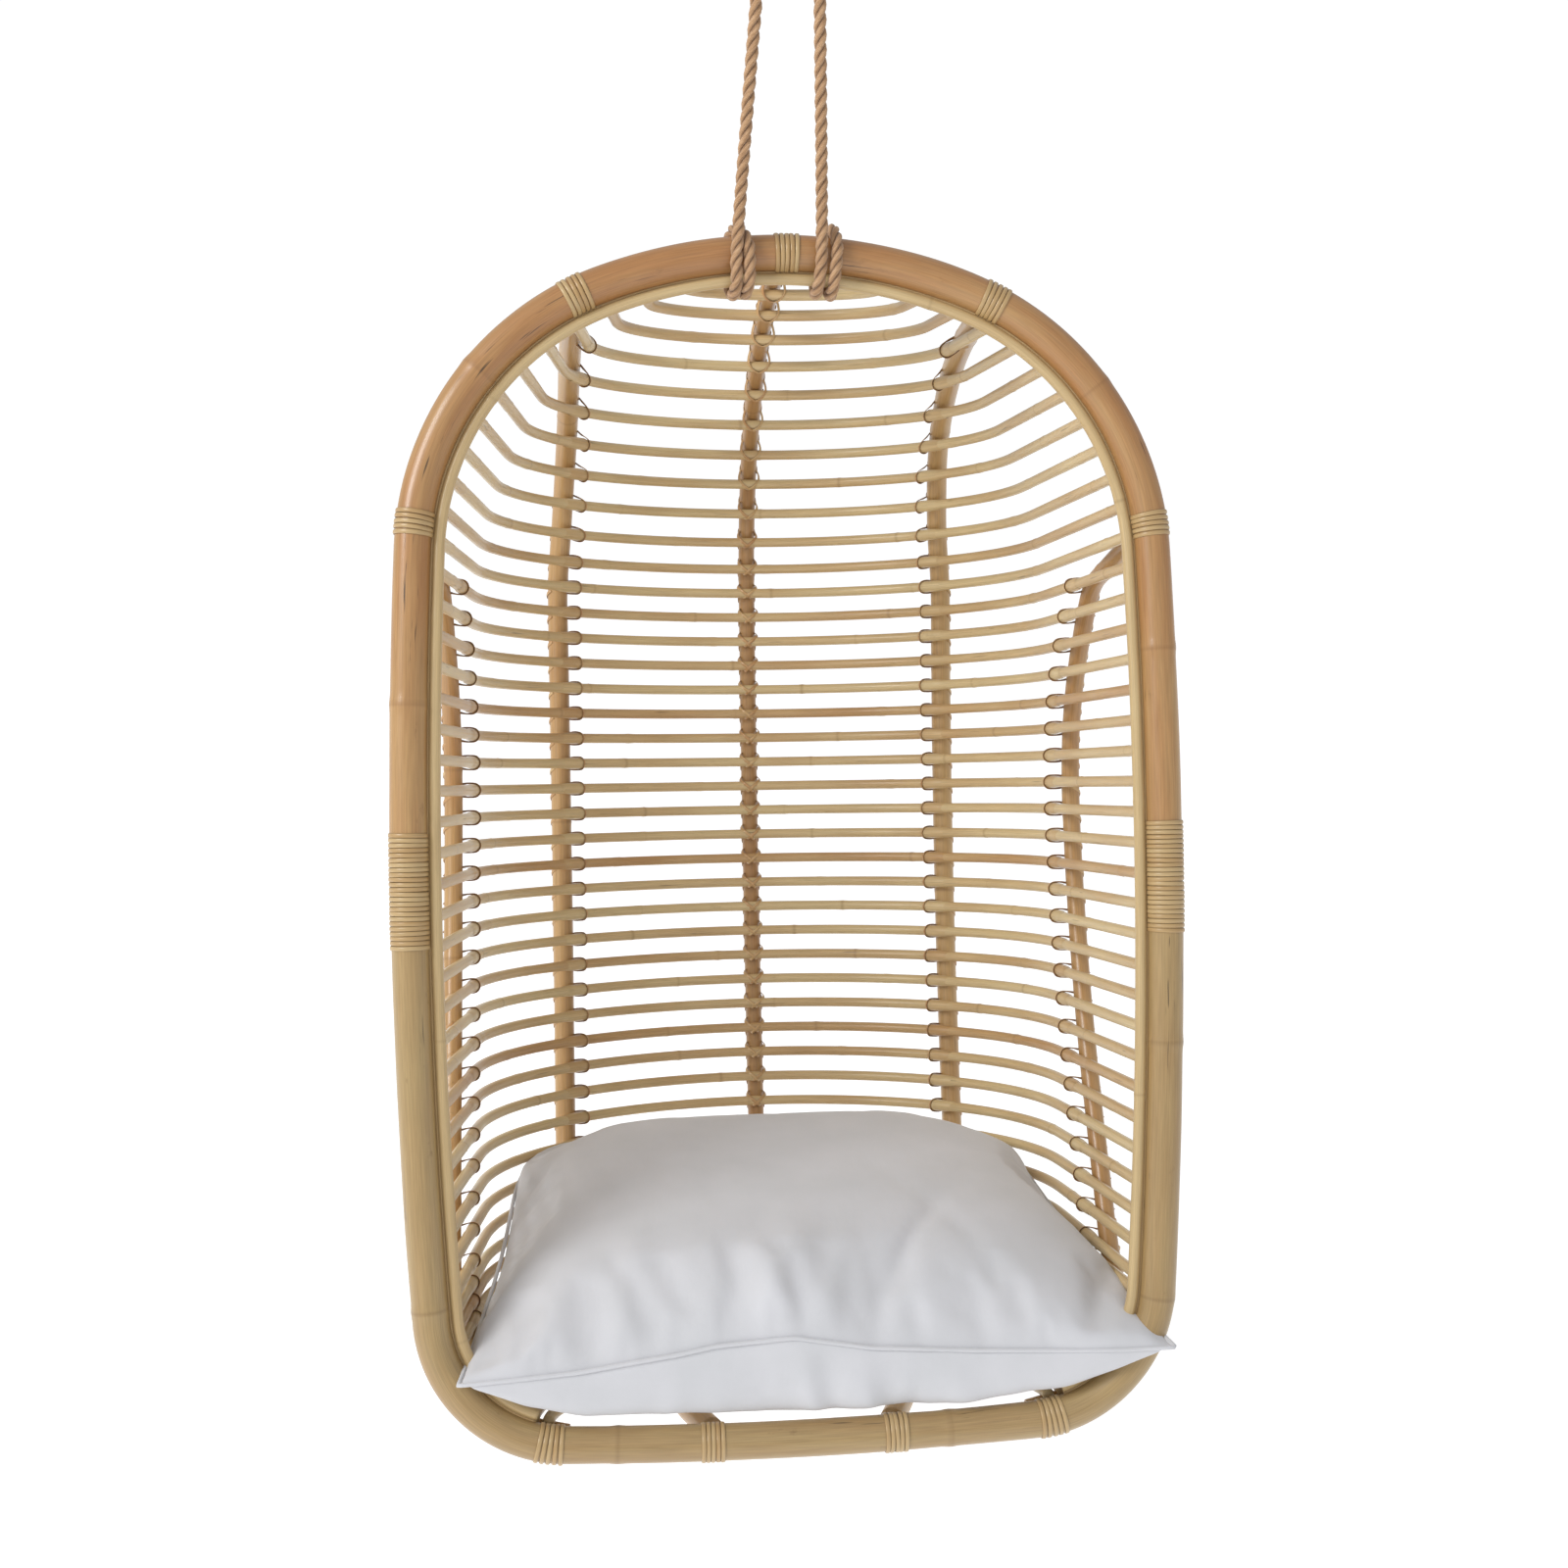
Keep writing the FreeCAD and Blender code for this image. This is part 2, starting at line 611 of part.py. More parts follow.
right_angle = leaving_angle(LEG_RIGHT)
left_angle = 180 - leaving_angle(LEG_LEFT)
feet = [Vec(LEG_LEFT, 0, crown_world.z), Vec(LEG_RIGHT, 0, crown_world.z)]
leave_left = thimble_point(left_angle, ROPE_TURN)
leave_right = thimble_point(right_angle, ROPE_TURN)
over_top = thimble_point((left_angle + right_angle) / 2, ROPE_TURN)
rope_run = [
    Part.LineSegment(feet[0], leave_left).toShape(),
    Part.Arc(leave_left, over_top, leave_right).toShape(),
    Part.LineSegment(leave_right, feet[1]).toShape(),
]
rope_tube = round_pole(rope_run, ROPE)
feature("rope", rope_tube, Placement())
rope_in_hoop = rope_tube.copy()
rope_in_hoop.transformShape(HOOP_PLACE.inverse().toMatrix(), True)


def stadium(radius, drop, middle, along, length):
    """A bar along the hoop whose section is round at the top and bottom, drop apart."""
    start = middle - along * (length / 2)
    top = Part.makeCylinder(radius, length, start, along)
    low = Part.makeCylinder(radius, length, start - UP * drop, along)
    slab = Part.makeBox(length, 2 * radius, drop, Vec(0, -radius, -drop))
    slab.Placement = Placement(start, Rotation(RIGHT, along))
    return top.fuse([low, slab]).removeSplitter()


for word, across in HITCH_CENTRES.items():
    side = 1 if across > 0 else -1
    middle = on_hoop(abs(across), side)
    along = along_hoop(abs(across), side) * side
    hole = stadium(HITCH_BORE, HITCH_REACH, middle, along, HITCH_WIDTH + 2 * BORE_BEYOND)
    outside = HITCH_BORE + 2 * ROPE + HITCH_SLACK
    body = stadium(outside, HITCH_REACH, middle, along, HITCH_WIDTH)
    hitch = body.cut(hole).cut(rope_in_hoop)
    largest = max(hitch.Solids, key=lambda solid: solid.Volume)
    feature(f"rope_hitch_{word}", largest, HOOP_PLACE)

# ---------------------------------------------------------------- hanging fittings


def lift(height):
    return Placement(Vec(0, 0, height), Rotation())


def cylinder(name, radius, length, place):
    return primitive("Part::Cylinder", name, {"Radius": radius, "Height": length}, place)


def cut(name, base, tool):
    item = doc.addObject("Part::Cut", name)
    item.Label = name
    item.Base = base
    item.Tool = tool
    return item


def fuse(name, pieces):
    item = doc.addObject("Part::MultiFuse", name)
    item.Label = name
    item.Shapes = pieces
    return item


PLATE = size("plate_thickness")
HOUSING_BOTTOM = -PLATE - size("housing_depth")
HOUSING_FLOOR = 5.0
CAVITY = 10.5  # radius inside the housing
WASHER = 2.0
STEM_HEAD = 5.5
SCREW_HEAD = 3.0
SCREWS = 4
PAST = 5.0  # a cutting shape runs this far past the face it cuts

plate_disc = cylinder("plate_disc", "Sizes.plate_radius", "Sizes.plate_thickness", lift(-PLATE))
holes = []
screws = []
for number in range(SCREWS):
    around = Rotation(UP, (number + 0.5) * 360 / SCREWS)
    spot = around.multVec(RIGHT * size("bolt_circle"))
    below_plate = Placement(spot - UP * (PLATE + PAST), Rotation())
    hole_length = f"Sizes.plate_thickness + {2 * PAST}"
    holes.append(cylinder(f"plate_hole_{number}", "Sizes.screw_radius + 0.25", hole_length, below_plate))
    at_plate = Placement(spot - UP * PLATE, Rotation())
    shank = cylinder(f"shank_{number}", "Sizes.screw_radius", "Sizes.screw_length", at_plate)
    collar = cylinder(f"collar_{number}", "Sizes.screw_radius + 0.15", "Sizes.plate_thickness", at_plate)
    at_head = Placement(spot - UP * (PLATE + SCREW_HEAD), Rotation())
    head = cylinder(f"head_{number}", "Sizes.screw_radius * 1.9", str(SCREW_HEAD), at_head)
    screws.append(fuse(f"screw_{number}", [shank, collar, head]))
made.append(cut("ceiling_plate", plate_disc, fuse("plate_holes", holes)))
screw_group = doc.addObject("Part::Compound", "ceiling_screws")
screw_group.Label = "ceiling_screws"
screw_group.Links = screws
made.append(screw_group)

STEM_HOLE = "Sizes.stem_radius + Sizes.running_gap"
housing_floor = HOUSING_BOTTOM + HOUSING_FLOOR
below_housing = lift(HOUSING_BOTTOM - PAST)
barrel = cylinder("barrel", "Sizes.housing_radius", "Sizes.housing_depth", lift(HOUSING_BOTTOM))
cavity = cylinder("cavity", str(CAVITY), "Sizes.housing_depth", lift(housing_floor))
stem_hole = cylinder("stem_hole", STEM_HOLE, str(HOUSING_FLOOR + 2 * PAST), below_housing)
made.append(cut("swivel_housing", barrel, fuse("housing_hollow", [cavity, stem_hole])))

washer_disc = cylinder("washer_disc", str(CAVITY - 1), str(WASHER), lift(housing_floor))
washer_hole = cylinder("washer_hole", STEM_HOLE, str(WASHER + 2 * PAST), lift(housing_floor - PAST))
made.append(cut("thrust_washer", washer_disc, washer_hole))

head_height = housing_floor + WASHER + GAP
stem_low = -size("eye_drop") + size("eye_ring")
stem = cylinder("stem", "Sizes.stem_radius", str(head_height + 1 - stem_low), lift(stem_low))
stem_head = cylinder("stem_head", str(CAVITY - 2), str(STEM_HEAD), lift(head_height))
eye_place = Placement(Vec(0, 0, -size("eye_drop")), Rotation(RIGHT, 90))
eye_cells = {"Radius1": "Sizes.eye_ring", "Radius2": "Sizes.eye_rod"}
eye_loop = primitive("Part::Torus", "eye_loop", eye_cells, eye_place)
made.append(fuse("swivel_eye", [stem, stem_head, eye_loop]))

# shackle: the bow hangs in the eye and the pin carries the thimble
BEND = size("shackle_bend")
LEG = size("shackle_leg")
LUG_RADIUS = 10.0
LUG_WIDTH = 8.0
NUT_RADIUS = 9.5  # at its corners
NUT_WIDTH = 6.0
PIN_HEAD = 5.0
PIN_PAST_NUT = 8.0
PIN_FIT = 0.02
PIN_REACH = BEND + LUG_WIDTH / 2
low_front = Vec(0, -BEND, PIN_HEIGHT)
low_back = Vec(0, BEND, PIN_HEIGHT)
top_middle = Vec(0, 0, PIN_HEIGHT + LEG + BEND)
bow_run = [
    Part.LineSegment(low_front, low_front + UP * LEG).toShape(),
    Part.Arc(low_front + UP * LEG, top_middle, low_back + UP * LEG).toShape(),
    Part.LineSegment(low_back + UP * LEG, low_back).toShape(),
]
bow = round_pole(bow_run, size("shackle_rod"))
pin_hole_start = Vec(0, -2 * PIN_REACH, PIN_HEIGHT)
pin_hole = Part.makeCylinder(size("pin_radius") + PIN_FIT, 4 * PIN_REACH, pin_hole_start, BACK)
lugs = []
for middle in (-BEND, BEND):
    lug_start = Vec(0, middle - LUG_WIDTH / 2, PIN_HEIGHT)
    lugs.append(Part.makeCylinder(LUG_RADIUS, LUG_WIDTH, lug_start, BACK))
feature("shackle_bow", bow.fuse(lugs).cut(pin_hole), Placement())

pin_turn = Rotation(RIGHT, -90)
pin_length = str(2 * PIN_REACH + PIN_PAST_NUT)
pin_place = Placement(Vec(0, -PIN_REACH, PIN_HEIGHT), pin_turn)
pin_shank = cylinder("pin_shank", "Sizes.pin_radius", pin_length, pin_place)
head_place = Placement(Vec(0, -PIN_REACH - PIN_HEAD, PIN_HEIGHT), pin_turn)
pin_head = cylinder("pin_head", "Sizes.pin_radius + 3.5", str(PIN_HEAD), head_place)
made.append(fuse("shackle_pin", [pin_shank, pin_head]))

nut_corners = []
for corner in range(7):
    across = NUT_RADIUS * cos(radians(60 * corner))
    height = PIN_HEIGHT + NUT_RADIUS * sin(radians(60 * corner))
    nut_corners.append(Vec(across, PIN_REACH, height))
nut_face = Part.Face(Part.makePolygon(nut_corners))
feature("shackle_nut", nut_face.extrude(BACK * NUT_WIDTH).cut(pin_hole), Placement())

# thimble: a grooved ring
THIMBLE_WIDTH = 15.0
FLANGE_DEPTH = 4.5
GROOVE_SLACK = 0.2
flange_radius = size("thimble_groove") + FLANGE_DEPTH
thimble_start = Vec(0, -THIMBLE_WIDTH / 2, THIMBLE_HEIGHT)
flange = Part.makeCylinder(flange_radius, THIMBLE_WIDTH, thimble_start, BACK)
bore = Part.makeCylinder(size("thimble_bore"), THIMBLE_WIDTH, thimble_start, BACK)
groove = Part.makeTorus(ROPE_TURN, ROPE + GROOVE_SLACK, Vec(0, 0, THIMBLE_HEIGHT), BACK)
feature("thimble", flange.cut(bore).cut(groove), Placement())

# ---------------------------------------------------------------- cushion

SEAT_SLOPE = 12.0  # of the seat against the hoop's own level, degrees
CUSHION_FRONT = 4.0  # front bottom edge, behind the hoop's centreline
CUSHION_BASE = -560.3  # and its height in the hoop's frame
block_cells = {
    "Length": "Sizes.cushion_width",
    "Width": "Sizes.cushion_depth",
    "Height": "Sizes.cushion_height",
}
cushion_block = primitive("Part::Box", "cushion_block", block_cells)
doc.recompute()


def chosen_edges(shape, wanted):
    """Numbers of a shape's edges that wanted() picks, counted from one."""
    return [number for number, edge in enumerate(shape.Edges, start=1) if wanted(edge)]


def upright(edge):
    box = edge.BoundBox
    return box.ZLength > max(box.XLength, box.YLength)


def at_back(edge):
    return edge.BoundBox.Center.y > size("cushion_depth") / 2


cushion_outline = doc.addObject("Part::Fillet", "cushion_outline")
cushion_outline.Base = cushion_block
rounding = []
for number in chosen_edges(cushion_block.Shape, upright):
    corner = size("cushion_front_corner")
    if at_back(cushion_block.Shape.Edges[number - 1]):
        corner = size("cushion_back_corner")
    rounding.append((number, corner, corner))
cushion_outline.Edges = rounding
doc.recompute()
cushion = doc.addObject("Part::Fillet", "cushion")
cushion.Label = "cushion"
cushion.Base = cushion_outline
edge_round = size("cushion_edge")
level_edges = chosen_edges(cushion_outline.Shape, lambda edge: not upright(edge))
cushion.Edges = [(number, edge_round, edge_round) for number in level_edges]
seat_tilt = Placement(Vec(0, CUSHION_FRONT, CUSHION_BASE), Rotation(RIGHT, SEAT_SLOPE))
cushion_local = seat_tilt.multiply(Placement(Vec(-size("cushion_width") / 2, 0, 0), Rotation()))
doc.recompute()
cushion.Placement = HOOP_PLACE.multiply(cushion_local)
made.append(cushion)

doc.recompute()
for item in doc.Objects:
    if "Invalid" in item.State or "Error" in item.State:
        raise RuntimeError(f"{item.Label} did not build: {item.State}")
os.makedirs("parts", exist_ok=True)
for item in made:
    shape = item.Shape
    if shape.isNull() or not shape.isValid() or not shape.Solids:
        raise RuntimeError(f"{item.Label} is not a valid solid")
for item in made:
    item.Shape.exportStep(f"parts/{item.Label}.step")
    print(item.Label, len(item.Shape.Solids), round(item.Shape.Volume / 1000, 1))
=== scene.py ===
"""Hanging egg chair: the looks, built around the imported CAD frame.

The chair is laid out in its front hoop's frame, in millimetres: u to the viewer's right, v from
the hoop towards the back and w up along the hoop.  PLACE turns that into the row frame in metres.
"""

from math import acos, asin, atan2, cos, degrees, hypot, pi, radians, sin, tan
from random import Random

import bpy
import numpy as np
from mathutils import Matrix, Vector, noise


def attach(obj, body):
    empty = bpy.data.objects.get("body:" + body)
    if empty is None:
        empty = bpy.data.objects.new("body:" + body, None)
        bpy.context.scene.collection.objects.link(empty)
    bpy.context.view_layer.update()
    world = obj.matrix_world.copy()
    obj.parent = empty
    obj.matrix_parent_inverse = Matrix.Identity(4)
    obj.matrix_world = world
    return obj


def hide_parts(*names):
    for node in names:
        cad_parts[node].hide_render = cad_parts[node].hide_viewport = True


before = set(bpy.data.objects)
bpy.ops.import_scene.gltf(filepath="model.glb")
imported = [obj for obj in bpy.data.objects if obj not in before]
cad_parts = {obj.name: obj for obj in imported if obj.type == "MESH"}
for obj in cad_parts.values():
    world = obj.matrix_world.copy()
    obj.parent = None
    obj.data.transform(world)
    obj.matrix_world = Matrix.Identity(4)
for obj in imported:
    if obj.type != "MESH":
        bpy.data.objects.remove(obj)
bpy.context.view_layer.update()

MM = 0.001
UP, BACK, RIGHT = Vector((0, 0, 1)), Vector((0, 1, 0)), Vector((1, 0, 0))

# ---------------------------------------------------------------- sizes, as in the CAD source
LEAN = 17.24
POLE, TRIM, RUNG, ROPE = 17.0, 5.6, 5.8, 6.0
PEEL_THICKNESS, PEEL_WIDTH = 1.2, 4.3
CROWN = 525.0
CENTRE_RIB_RADIUS, INNER_RIB_RADIUS, OUTER_RIB_RADIUS, BRACE_RADIUS = 10.0, 12.0, 10.0, 9.0
THIMBLE_HEIGHT = -97.4
ROPE_TURN = 22.0
ROPE_RISE = 341.0
HITCH_OFFSET = POLE + 1.5 + ROPE + 0.2

CROWN_PLACE = Vector((0, HITCH_OFFSET, THIMBLE_HEIGHT - ROPE_RISE))
TILT = Matrix.Rotation(radians(-LEAN), 4, "X")
HOOP_FRAME = Matrix.Translation(CROWN_PLACE) @ TILT @ Matrix.Translation((0, 0, -CROWN))
PLACE = Matrix.Scale(MM, 4) @ HOOP_FRAME

# ---------------------------------------------------------------- camera
CAMERA_AT = Vector((-169, -1732, 0))
CAMERA_AXIS = Vector((0.115, 0.993, 0))
CAMERA_ROLL = 0.9



def in_scene(name, data):
    """A new object that holds this data."""
    item = bpy.data.objects.new(name, data)
    bpy.context.scene.collection.objects.link(item)
    return item


camera_data = bpy.data.cameras.new("camera")
camera_data.lens = 42.1
camera_data.shift_x = -0.028
camera_data.shift_y = 0.014
camera_data.clip_end = 100
camera = in_scene("camera", camera_data)
lean = TILT.to_3x3()
axis, upright = (lean @ CAMERA_AXIS).normalized(), (lean @ UP).normalized()
side = axis.cross(upright).normalized()
upright = side.cross(axis)
turn = Matrix((side, upright, -axis)).transposed().to_4x4()
roll = Matrix.Rotation(radians(-CAMERA_ROLL), 4, "Z")
camera.matrix_world = Matrix.Translation(PLACE @ CAMERA_AT) @ turn @ roll
bpy.context.scene.camera = camera

# ---------------------------------------------------------------- curves of the frame


class ArcChain:
    """Arcs in a plane, each tangent to the one before; a positive turn bends clockwise."""

    def __init__(self, x, y, heading, arcs):
        self.spans = []
        for radius, turned in arcs:
            self.spans.append((x, y, heading, radius, turned))
            x, y = self.along(x, y, heading, radius, turned)
            heading -= turned
        self.end = (x, y, heading)
        self.length = sum(span[3] * radians(span[4]) for span in self.spans)

    @staticmethod
    def along(x, y, heading, radius, turned):
        start, stop = radians(heading), radians(heading - turned)
        return x + radius * (sin(start) - sin(stop)), y + radius * (cos(stop) - cos(start))

    def at(self, distance):
        for x, y, heading, radius, turned in self.spans:
            span = radius * radians(turned)
            if distance <= span or (x, y, heading, radius, turned) == self.spans[-1]:
                done = degrees(distance / radius)
                return (*self.along(x, y, heading, radius, done), heading - done)
            distance -= span


HOOP_ARCS = [(483.0, 21.0), (280.0, 66.1), (6100.0, 6.75), (130.0, 83.2)]


def hoop_chain(inset=0.0, with_rail=True, corner_turn=None):
    """The right half of the hoop, or of a line at an inset from it."""
    arcs = [(radius - inset, turned) for radius, turned in HOOP_ARCS]
    if corner_turn:
        arcs[-1] = (arcs[-1][0], corner_turn)
    chain = ArcChain(0, CROWN - inset, 0, arcs)
    if with_rail:
        across, _, heading = chain.end
        left_to_turn = 180 + heading
        arcs.append((across / sin(radians(left_to_turn)), left_to_turn))
        chain = ArcChain(0, CROWN - inset, 0, arcs)
    return chain


HOOP = hoop_chain()


def on_hoop(distance, side=1, inset=0.0, back=0.0):
    """A point of the hoop's centreline, measured along it from the crown."""
    if distance < 0:
        distance, side = -distance, -side
    across, height, heading = HOOP.at(distance)
    across += inset * sin(radians(heading))
    height -= inset * cos(radians(heading))
    return Vector((side * across, back, height))


def along_hoop(distance, side=1):
    """The direction of the hoop's centreline there."""
    if distance < 0:
        return along_hoop(-distance, -side) * -1
    heading = radians(HOOP.at(distance)[2])
    return Vector((side * cos(heading), 0, sin(heading)))


SHOULDER_TIE, SIDE_TIE, SCARF = 205.0, 478.0, 819.0
RAIL_TIES = (1392.0, 1544.0)
POLE_END = POLE + 5.0
CENTRE_RIB = ArcChain(
    POLE_END,
    CROWN + 3.0,
    12.0,
    [(650, 27.5), (500, 22.5), (215, 49.1), (3950, 9.4), (2000, 1.0), (110, 69.5), (9000, 2.95)],
)
CENTRE_RIB_END, BRACE_AT, BRACE_SLACK, BRACE_HALF = 1660.0, 1625.0, 4.0, 235.0
EVEN_RUNG, LAST_BACK_RUNG, FIRST_RUNG, SEAT_RUNGS = 10, 34, -1, 11
GAP = 0.3


class Rung:
    """A cross rung: flat arc across the back, a tighter arc each side and straight ends."""

    LEAN = radians(4.0)
    CAP = 0.8537
    # on the hoop: the even rung's place, the even pitch, what each rung above adds, seat pitch
    HOOP_PLACE, PITCH, HOOP_CROWN, HOOP_SEAT = 483.0, 30.4, 0.38, 15.8
    # the same along the centre rib
    RIB_PLACE, RIB_CROWN, RIB_SEAT = 695.0, 1.95, 44.0
    END_INSET, BACK_TURN = 14.0, 39.0

    def __init__(self, number):
        above = max(0, EVEN_RUNG - number)
        below = min(number, LAST_BACK_RUNG) - EVEN_RUNG
        seat = max(0, number - LAST_BACK_RUNG)
        place = self.HOOP_PLACE + self.PITCH * below - self.HOOP_CROWN * above**2
        place += self.HOOP_SEAT * seat
        rib_place = self.RIB_PLACE + self.PITCH * below - self.RIB_CROWN * above**2
        rib_place += self.RIB_SEAT * seat
        back, height, heading = CENTRE_RIB.at(rib_place)
        inside = CENTRE_RIB_RADIUS + RUNG + GAP
        back += inside * sin(radians(heading))
        height -= inside * cos(radians(heading))
        self.rib_heading = heading
        self.centre = Vector((0, back, height))
        end = on_hoop(place, 1, self.END_INSET, POLE - 0.4)
        self.half_width = end.x
        self.front = Vector((0, end.y, end.z))
        self.reach = self.centre - self.front
        self.depth = self.reach.length
        self.reach.normalize()
        narrow = (self.half_width - self.depth * tan(self.LEAN)) / (1 - self.CAP * tan(self.LEAN))
        cap = self.CAP * narrow
        if cap > self.depth:
            cap, narrow = self.depth, self.half_width
        self.turn = self.BACK_TURN * cap / (self.CAP * narrow)
        across, deep = sin(radians(self.turn)), cos(radians(self.turn))
        lift = tan(radians(self.turn) / 2)
        share = (deep - sin(self.LEAN)) - (cos(self.LEAN) - across) * lift
        self.corner = (cap - narrow * lift) / share
        self.back_arc = (narrow - self.corner * (cos(self.LEAN) - across)) / across
        self.straight = self.depth - cap

    def point(self, across, deep):
        return self.front + RIGHT * across + self.reach * deep

    def at_heading(self, heading):
        if heading <= radians(self.turn):
            across = self.back_arc * sin(heading)
            return self.point(across, self.depth - self.back_arc * (1 - cos(heading)))
        joint = self.back_arc * sin(radians(self.turn))
        across = joint + self.corner * (sin(heading) - sin(radians(self.turn)))
        return self.point(across, self.straight + self.corner * (cos(heading) - sin(self.LEAN)))

    def direction(self, heading):
        return RIGHT * cos(heading) - self.reach * sin(heading)

    def across_at(self, across):
        joint = self.back_arc * sin(radians(self.turn))
        if across <= joint:
            heading = asin(across / self.back_arc)
        else:
            rise = sin(radians(self.turn)) + (across - joint) / self.corner
            heading = asin(min(cos(self.LEAN), rise))
        return self.at_heading(heading), self.direction(heading)

    def deep_at(self, deep):
        if deep <= self.straight:
            across = self.half_width - deep * tan(self.LEAN)
            return self.point(across, deep), self.direction(radians(90) - self.LEAN)
        heading = acos(min(1.0, sin(self.LEAN) + (deep - self.straight) / self.corner))
        return self.at_heading(heading), self.direction(heading)

    def route(self, steps=26):
        """Points of the whole rung from its left end to its right end."""
        last = radians(90) - self.LEAN
        half = [self.at_heading(last * step / steps) for step in range(steps + 1)]
        if self.straight > 1:
            count = max(2, int(self.straight / 12))
            for step in range(1, count + 1):
                deep = self.straight * (1 - step / count)
                half.append(self.point(self.half_width - deep * tan(self.LEAN), deep))
        return mirrored(half[:0:-1]) + half


RUNG_NUMBERS = range(FIRST_RUNG, LAST_BACK_RUNG + SEAT_RUNGS + 1)
RUNGS = {number: Rung(number) for number in RUNG_NUMBERS}


# how far the inner ribs stand from the middle: on the back, at the crown and at the rail
INNER_BACK, INNER_CROWN_STEP, INNER_RAIL = 221.0, 23.0, 87.0
BOW_DEPTH, BOW_CENTRE, BOW_SEAT_STEP = 305.0, 30.0, 17.0
BOW_RADIUS_ABOVE, BOW_RADIUS_BELOW = 205.0, 800.0
RIB_ROOM = 3.2


def inner_crossing(number):
    """Where an inner rib crosses a rung."""
    rung = RUNGS[number]
    if number <= LAST_BACK_RUNG:
        above = max(0, EVEN_RUNG - number) / (EVEN_RUNG - 2)
        across = INNER_BACK - INNER_CROWN_STEP * above
    else:
        share = rung.centre.y / RUNGS[LAST_BACK_RUNG].centre.y
        across = INNER_RAIL + (INNER_BACK - INNER_RAIL) * share
    return rung.across_at(across)


def outer_crossing(number):
    """Where an outer rib crosses a rung: a bow that is deepest near the hoop's middle."""
    rung = RUNGS[number]
    height = RUNGS[min(number, LAST_BACK_RUNG)].centre.z - BOW_CENTRE
    radius = BOW_RADIUS_ABOVE if height > 0 else BOW_RADIUS_BELOW
    deep = BOW_DEPTH - height**2 / (2 * radius) - BOW_SEAT_STEP * max(0, number - LAST_BACK_RUNG)
    return rung.deep_at(deep - rung.front.y)


def outward_at(crossing, number, first, last):
    """Place, direction of the rung, direction out of the shell and direction down the rib."""
    here, along_rung = crossing(number)
    above = crossing(max(number - 1, first))[0]
    below = crossing(min(number + 1, last))[0]
    outward = along_rung.cross(below - above).normalized()
    if outward.dot(here - Vector((0, 250, 0))) < 0:
        outward = -outward
    return here, along_rung.normalized(), outward, (below - above).normalized()


def rib_points(crossing, numbers, radius):
    """Corners of a rib's route, outside the rungs that it crosses."""
    points = []
    for number in numbers:
        here, _, outward, _ = outward_at(crossing, number, numbers[0], numbers[-1])
        points.append(here + outward * (radius + RUNG + GAP + RIB_ROOM))
    return points


# the rungs that the inner and outer ribs are tied to, and those that shape their routes
INNER_TIED, OUTER_TIED = (2, 45), (11, 40)
INNER_RUNGS = [2, 3, 4, 5, 6, 8, 10, 12, 15, 18, 21, 24, 27, 30, 32, 34, 35, 36, 38, 40, 42, 44, 45]
OUTER_RUNGS = [11, 12, 14, 16, 18, 20, 22, 24, 26, 28, 30, 32, 34, 36, 38, 40]
inner_points = [on_hoop(SHOULDER_TIE, 1, -5.0, POLE_END)]
inner_points += rib_points(inner_crossing, INNER_RUNGS, INNER_RIB_RADIUS)
inner_points.append(on_hoop(RAIL_TIES[1], 1, 4.0, POLE_END))
outer_points = [on_hoop(SIDE_TIE, 1, 0.0, POLE_END), on_hoop(SIDE_TIE + 6, 1, -5.0, 95.0)]
outer_points += rib_points(outer_crossing, OUTER_RUNGS, OUTER_RIB_RADIUS)
BESIDE = POLE + 1.8 + OUTER_RIB_RADIUS
outer_points.append(on_hoop(RAIL_TIES[0] - 30, 1, -2.0, BESIDE + 7))
outer_points.append(on_hoop(RAIL_TIES[0] + 16, 1, 0.0, BESIDE))


def rounded(points, share=0.45):
    """Points along straight runs joined by tangent arcs."""
    made = [points[0]]
    for before, corner, after in zip(points, points[1:], points[2:]):
        into, out = (corner - before).normalized(), (after - corner).normalized()
        half_turn = into.angle(out) / 2
        reach = share * min((corner - before).length, (after - corner).length)
        if half_turn < 1e-4:
            made += [corner - into * reach, corner + out * reach]
            continue
        first, last = corner - into * reach, corner + out * reach
        for step in range(7):
            t = step / 6
            made.append(first * (1 - t) ** 2 + corner * 2 * t * (1 - t) + last * t**2)
    made.append(points[-1])
    return made


def mirrored(points):
    """The same points on the chair's other side."""
    return [Vector((-p.x, p.y, p.z)) for p in points]


# ---------------------------------------------------------------- mesh helpers


def resampled(points, step):
    """Evenly spaced points along a line of points."""
    co = np.array([tuple(p) for p in points], float)
    keep = np.r_[True, np.linalg.norm(np.diff(co, axis=0), axis=1) > 1e-6]
    co = co[keep]
    run = np.r_[0, np.cumsum(np.linalg.norm(np.diff(co, axis=0), axis=1))]
    count = max(2, int(round(run[-1] / step)) + 1)
    at = np.linspace(0, run[-1], count)
    return np.stack([np.interp(at, run, co[:, k]) for k in range(3)], 1), at


def frames_along(co, start_up=None):
    """Unit tangents and two normals that turn as little as possible along the line."""
    tangents = np.gradient(co, axis=0)
    tangents /= np.linalg.norm(tangents, axis=1)[:, None]
    up = np.array(start_up if start_up is not None else (0, 0, 1), float)
    if abs(up @ tangents[0]) > 0.9:
        up = np.array((0, 1.0, 0))
    first = up - tangents[0] * (up @ tangents[0])
    normals = [first / np.linalg.norm(first)]
    for t in tangents[1:]:
        n = normals[-1] - t * (normals[-1] @ t)
        normals.append(n / np.linalg.norm(n))
    normals = np.array(normals)
    return tangents, normals, np.cross(tangents, normals)


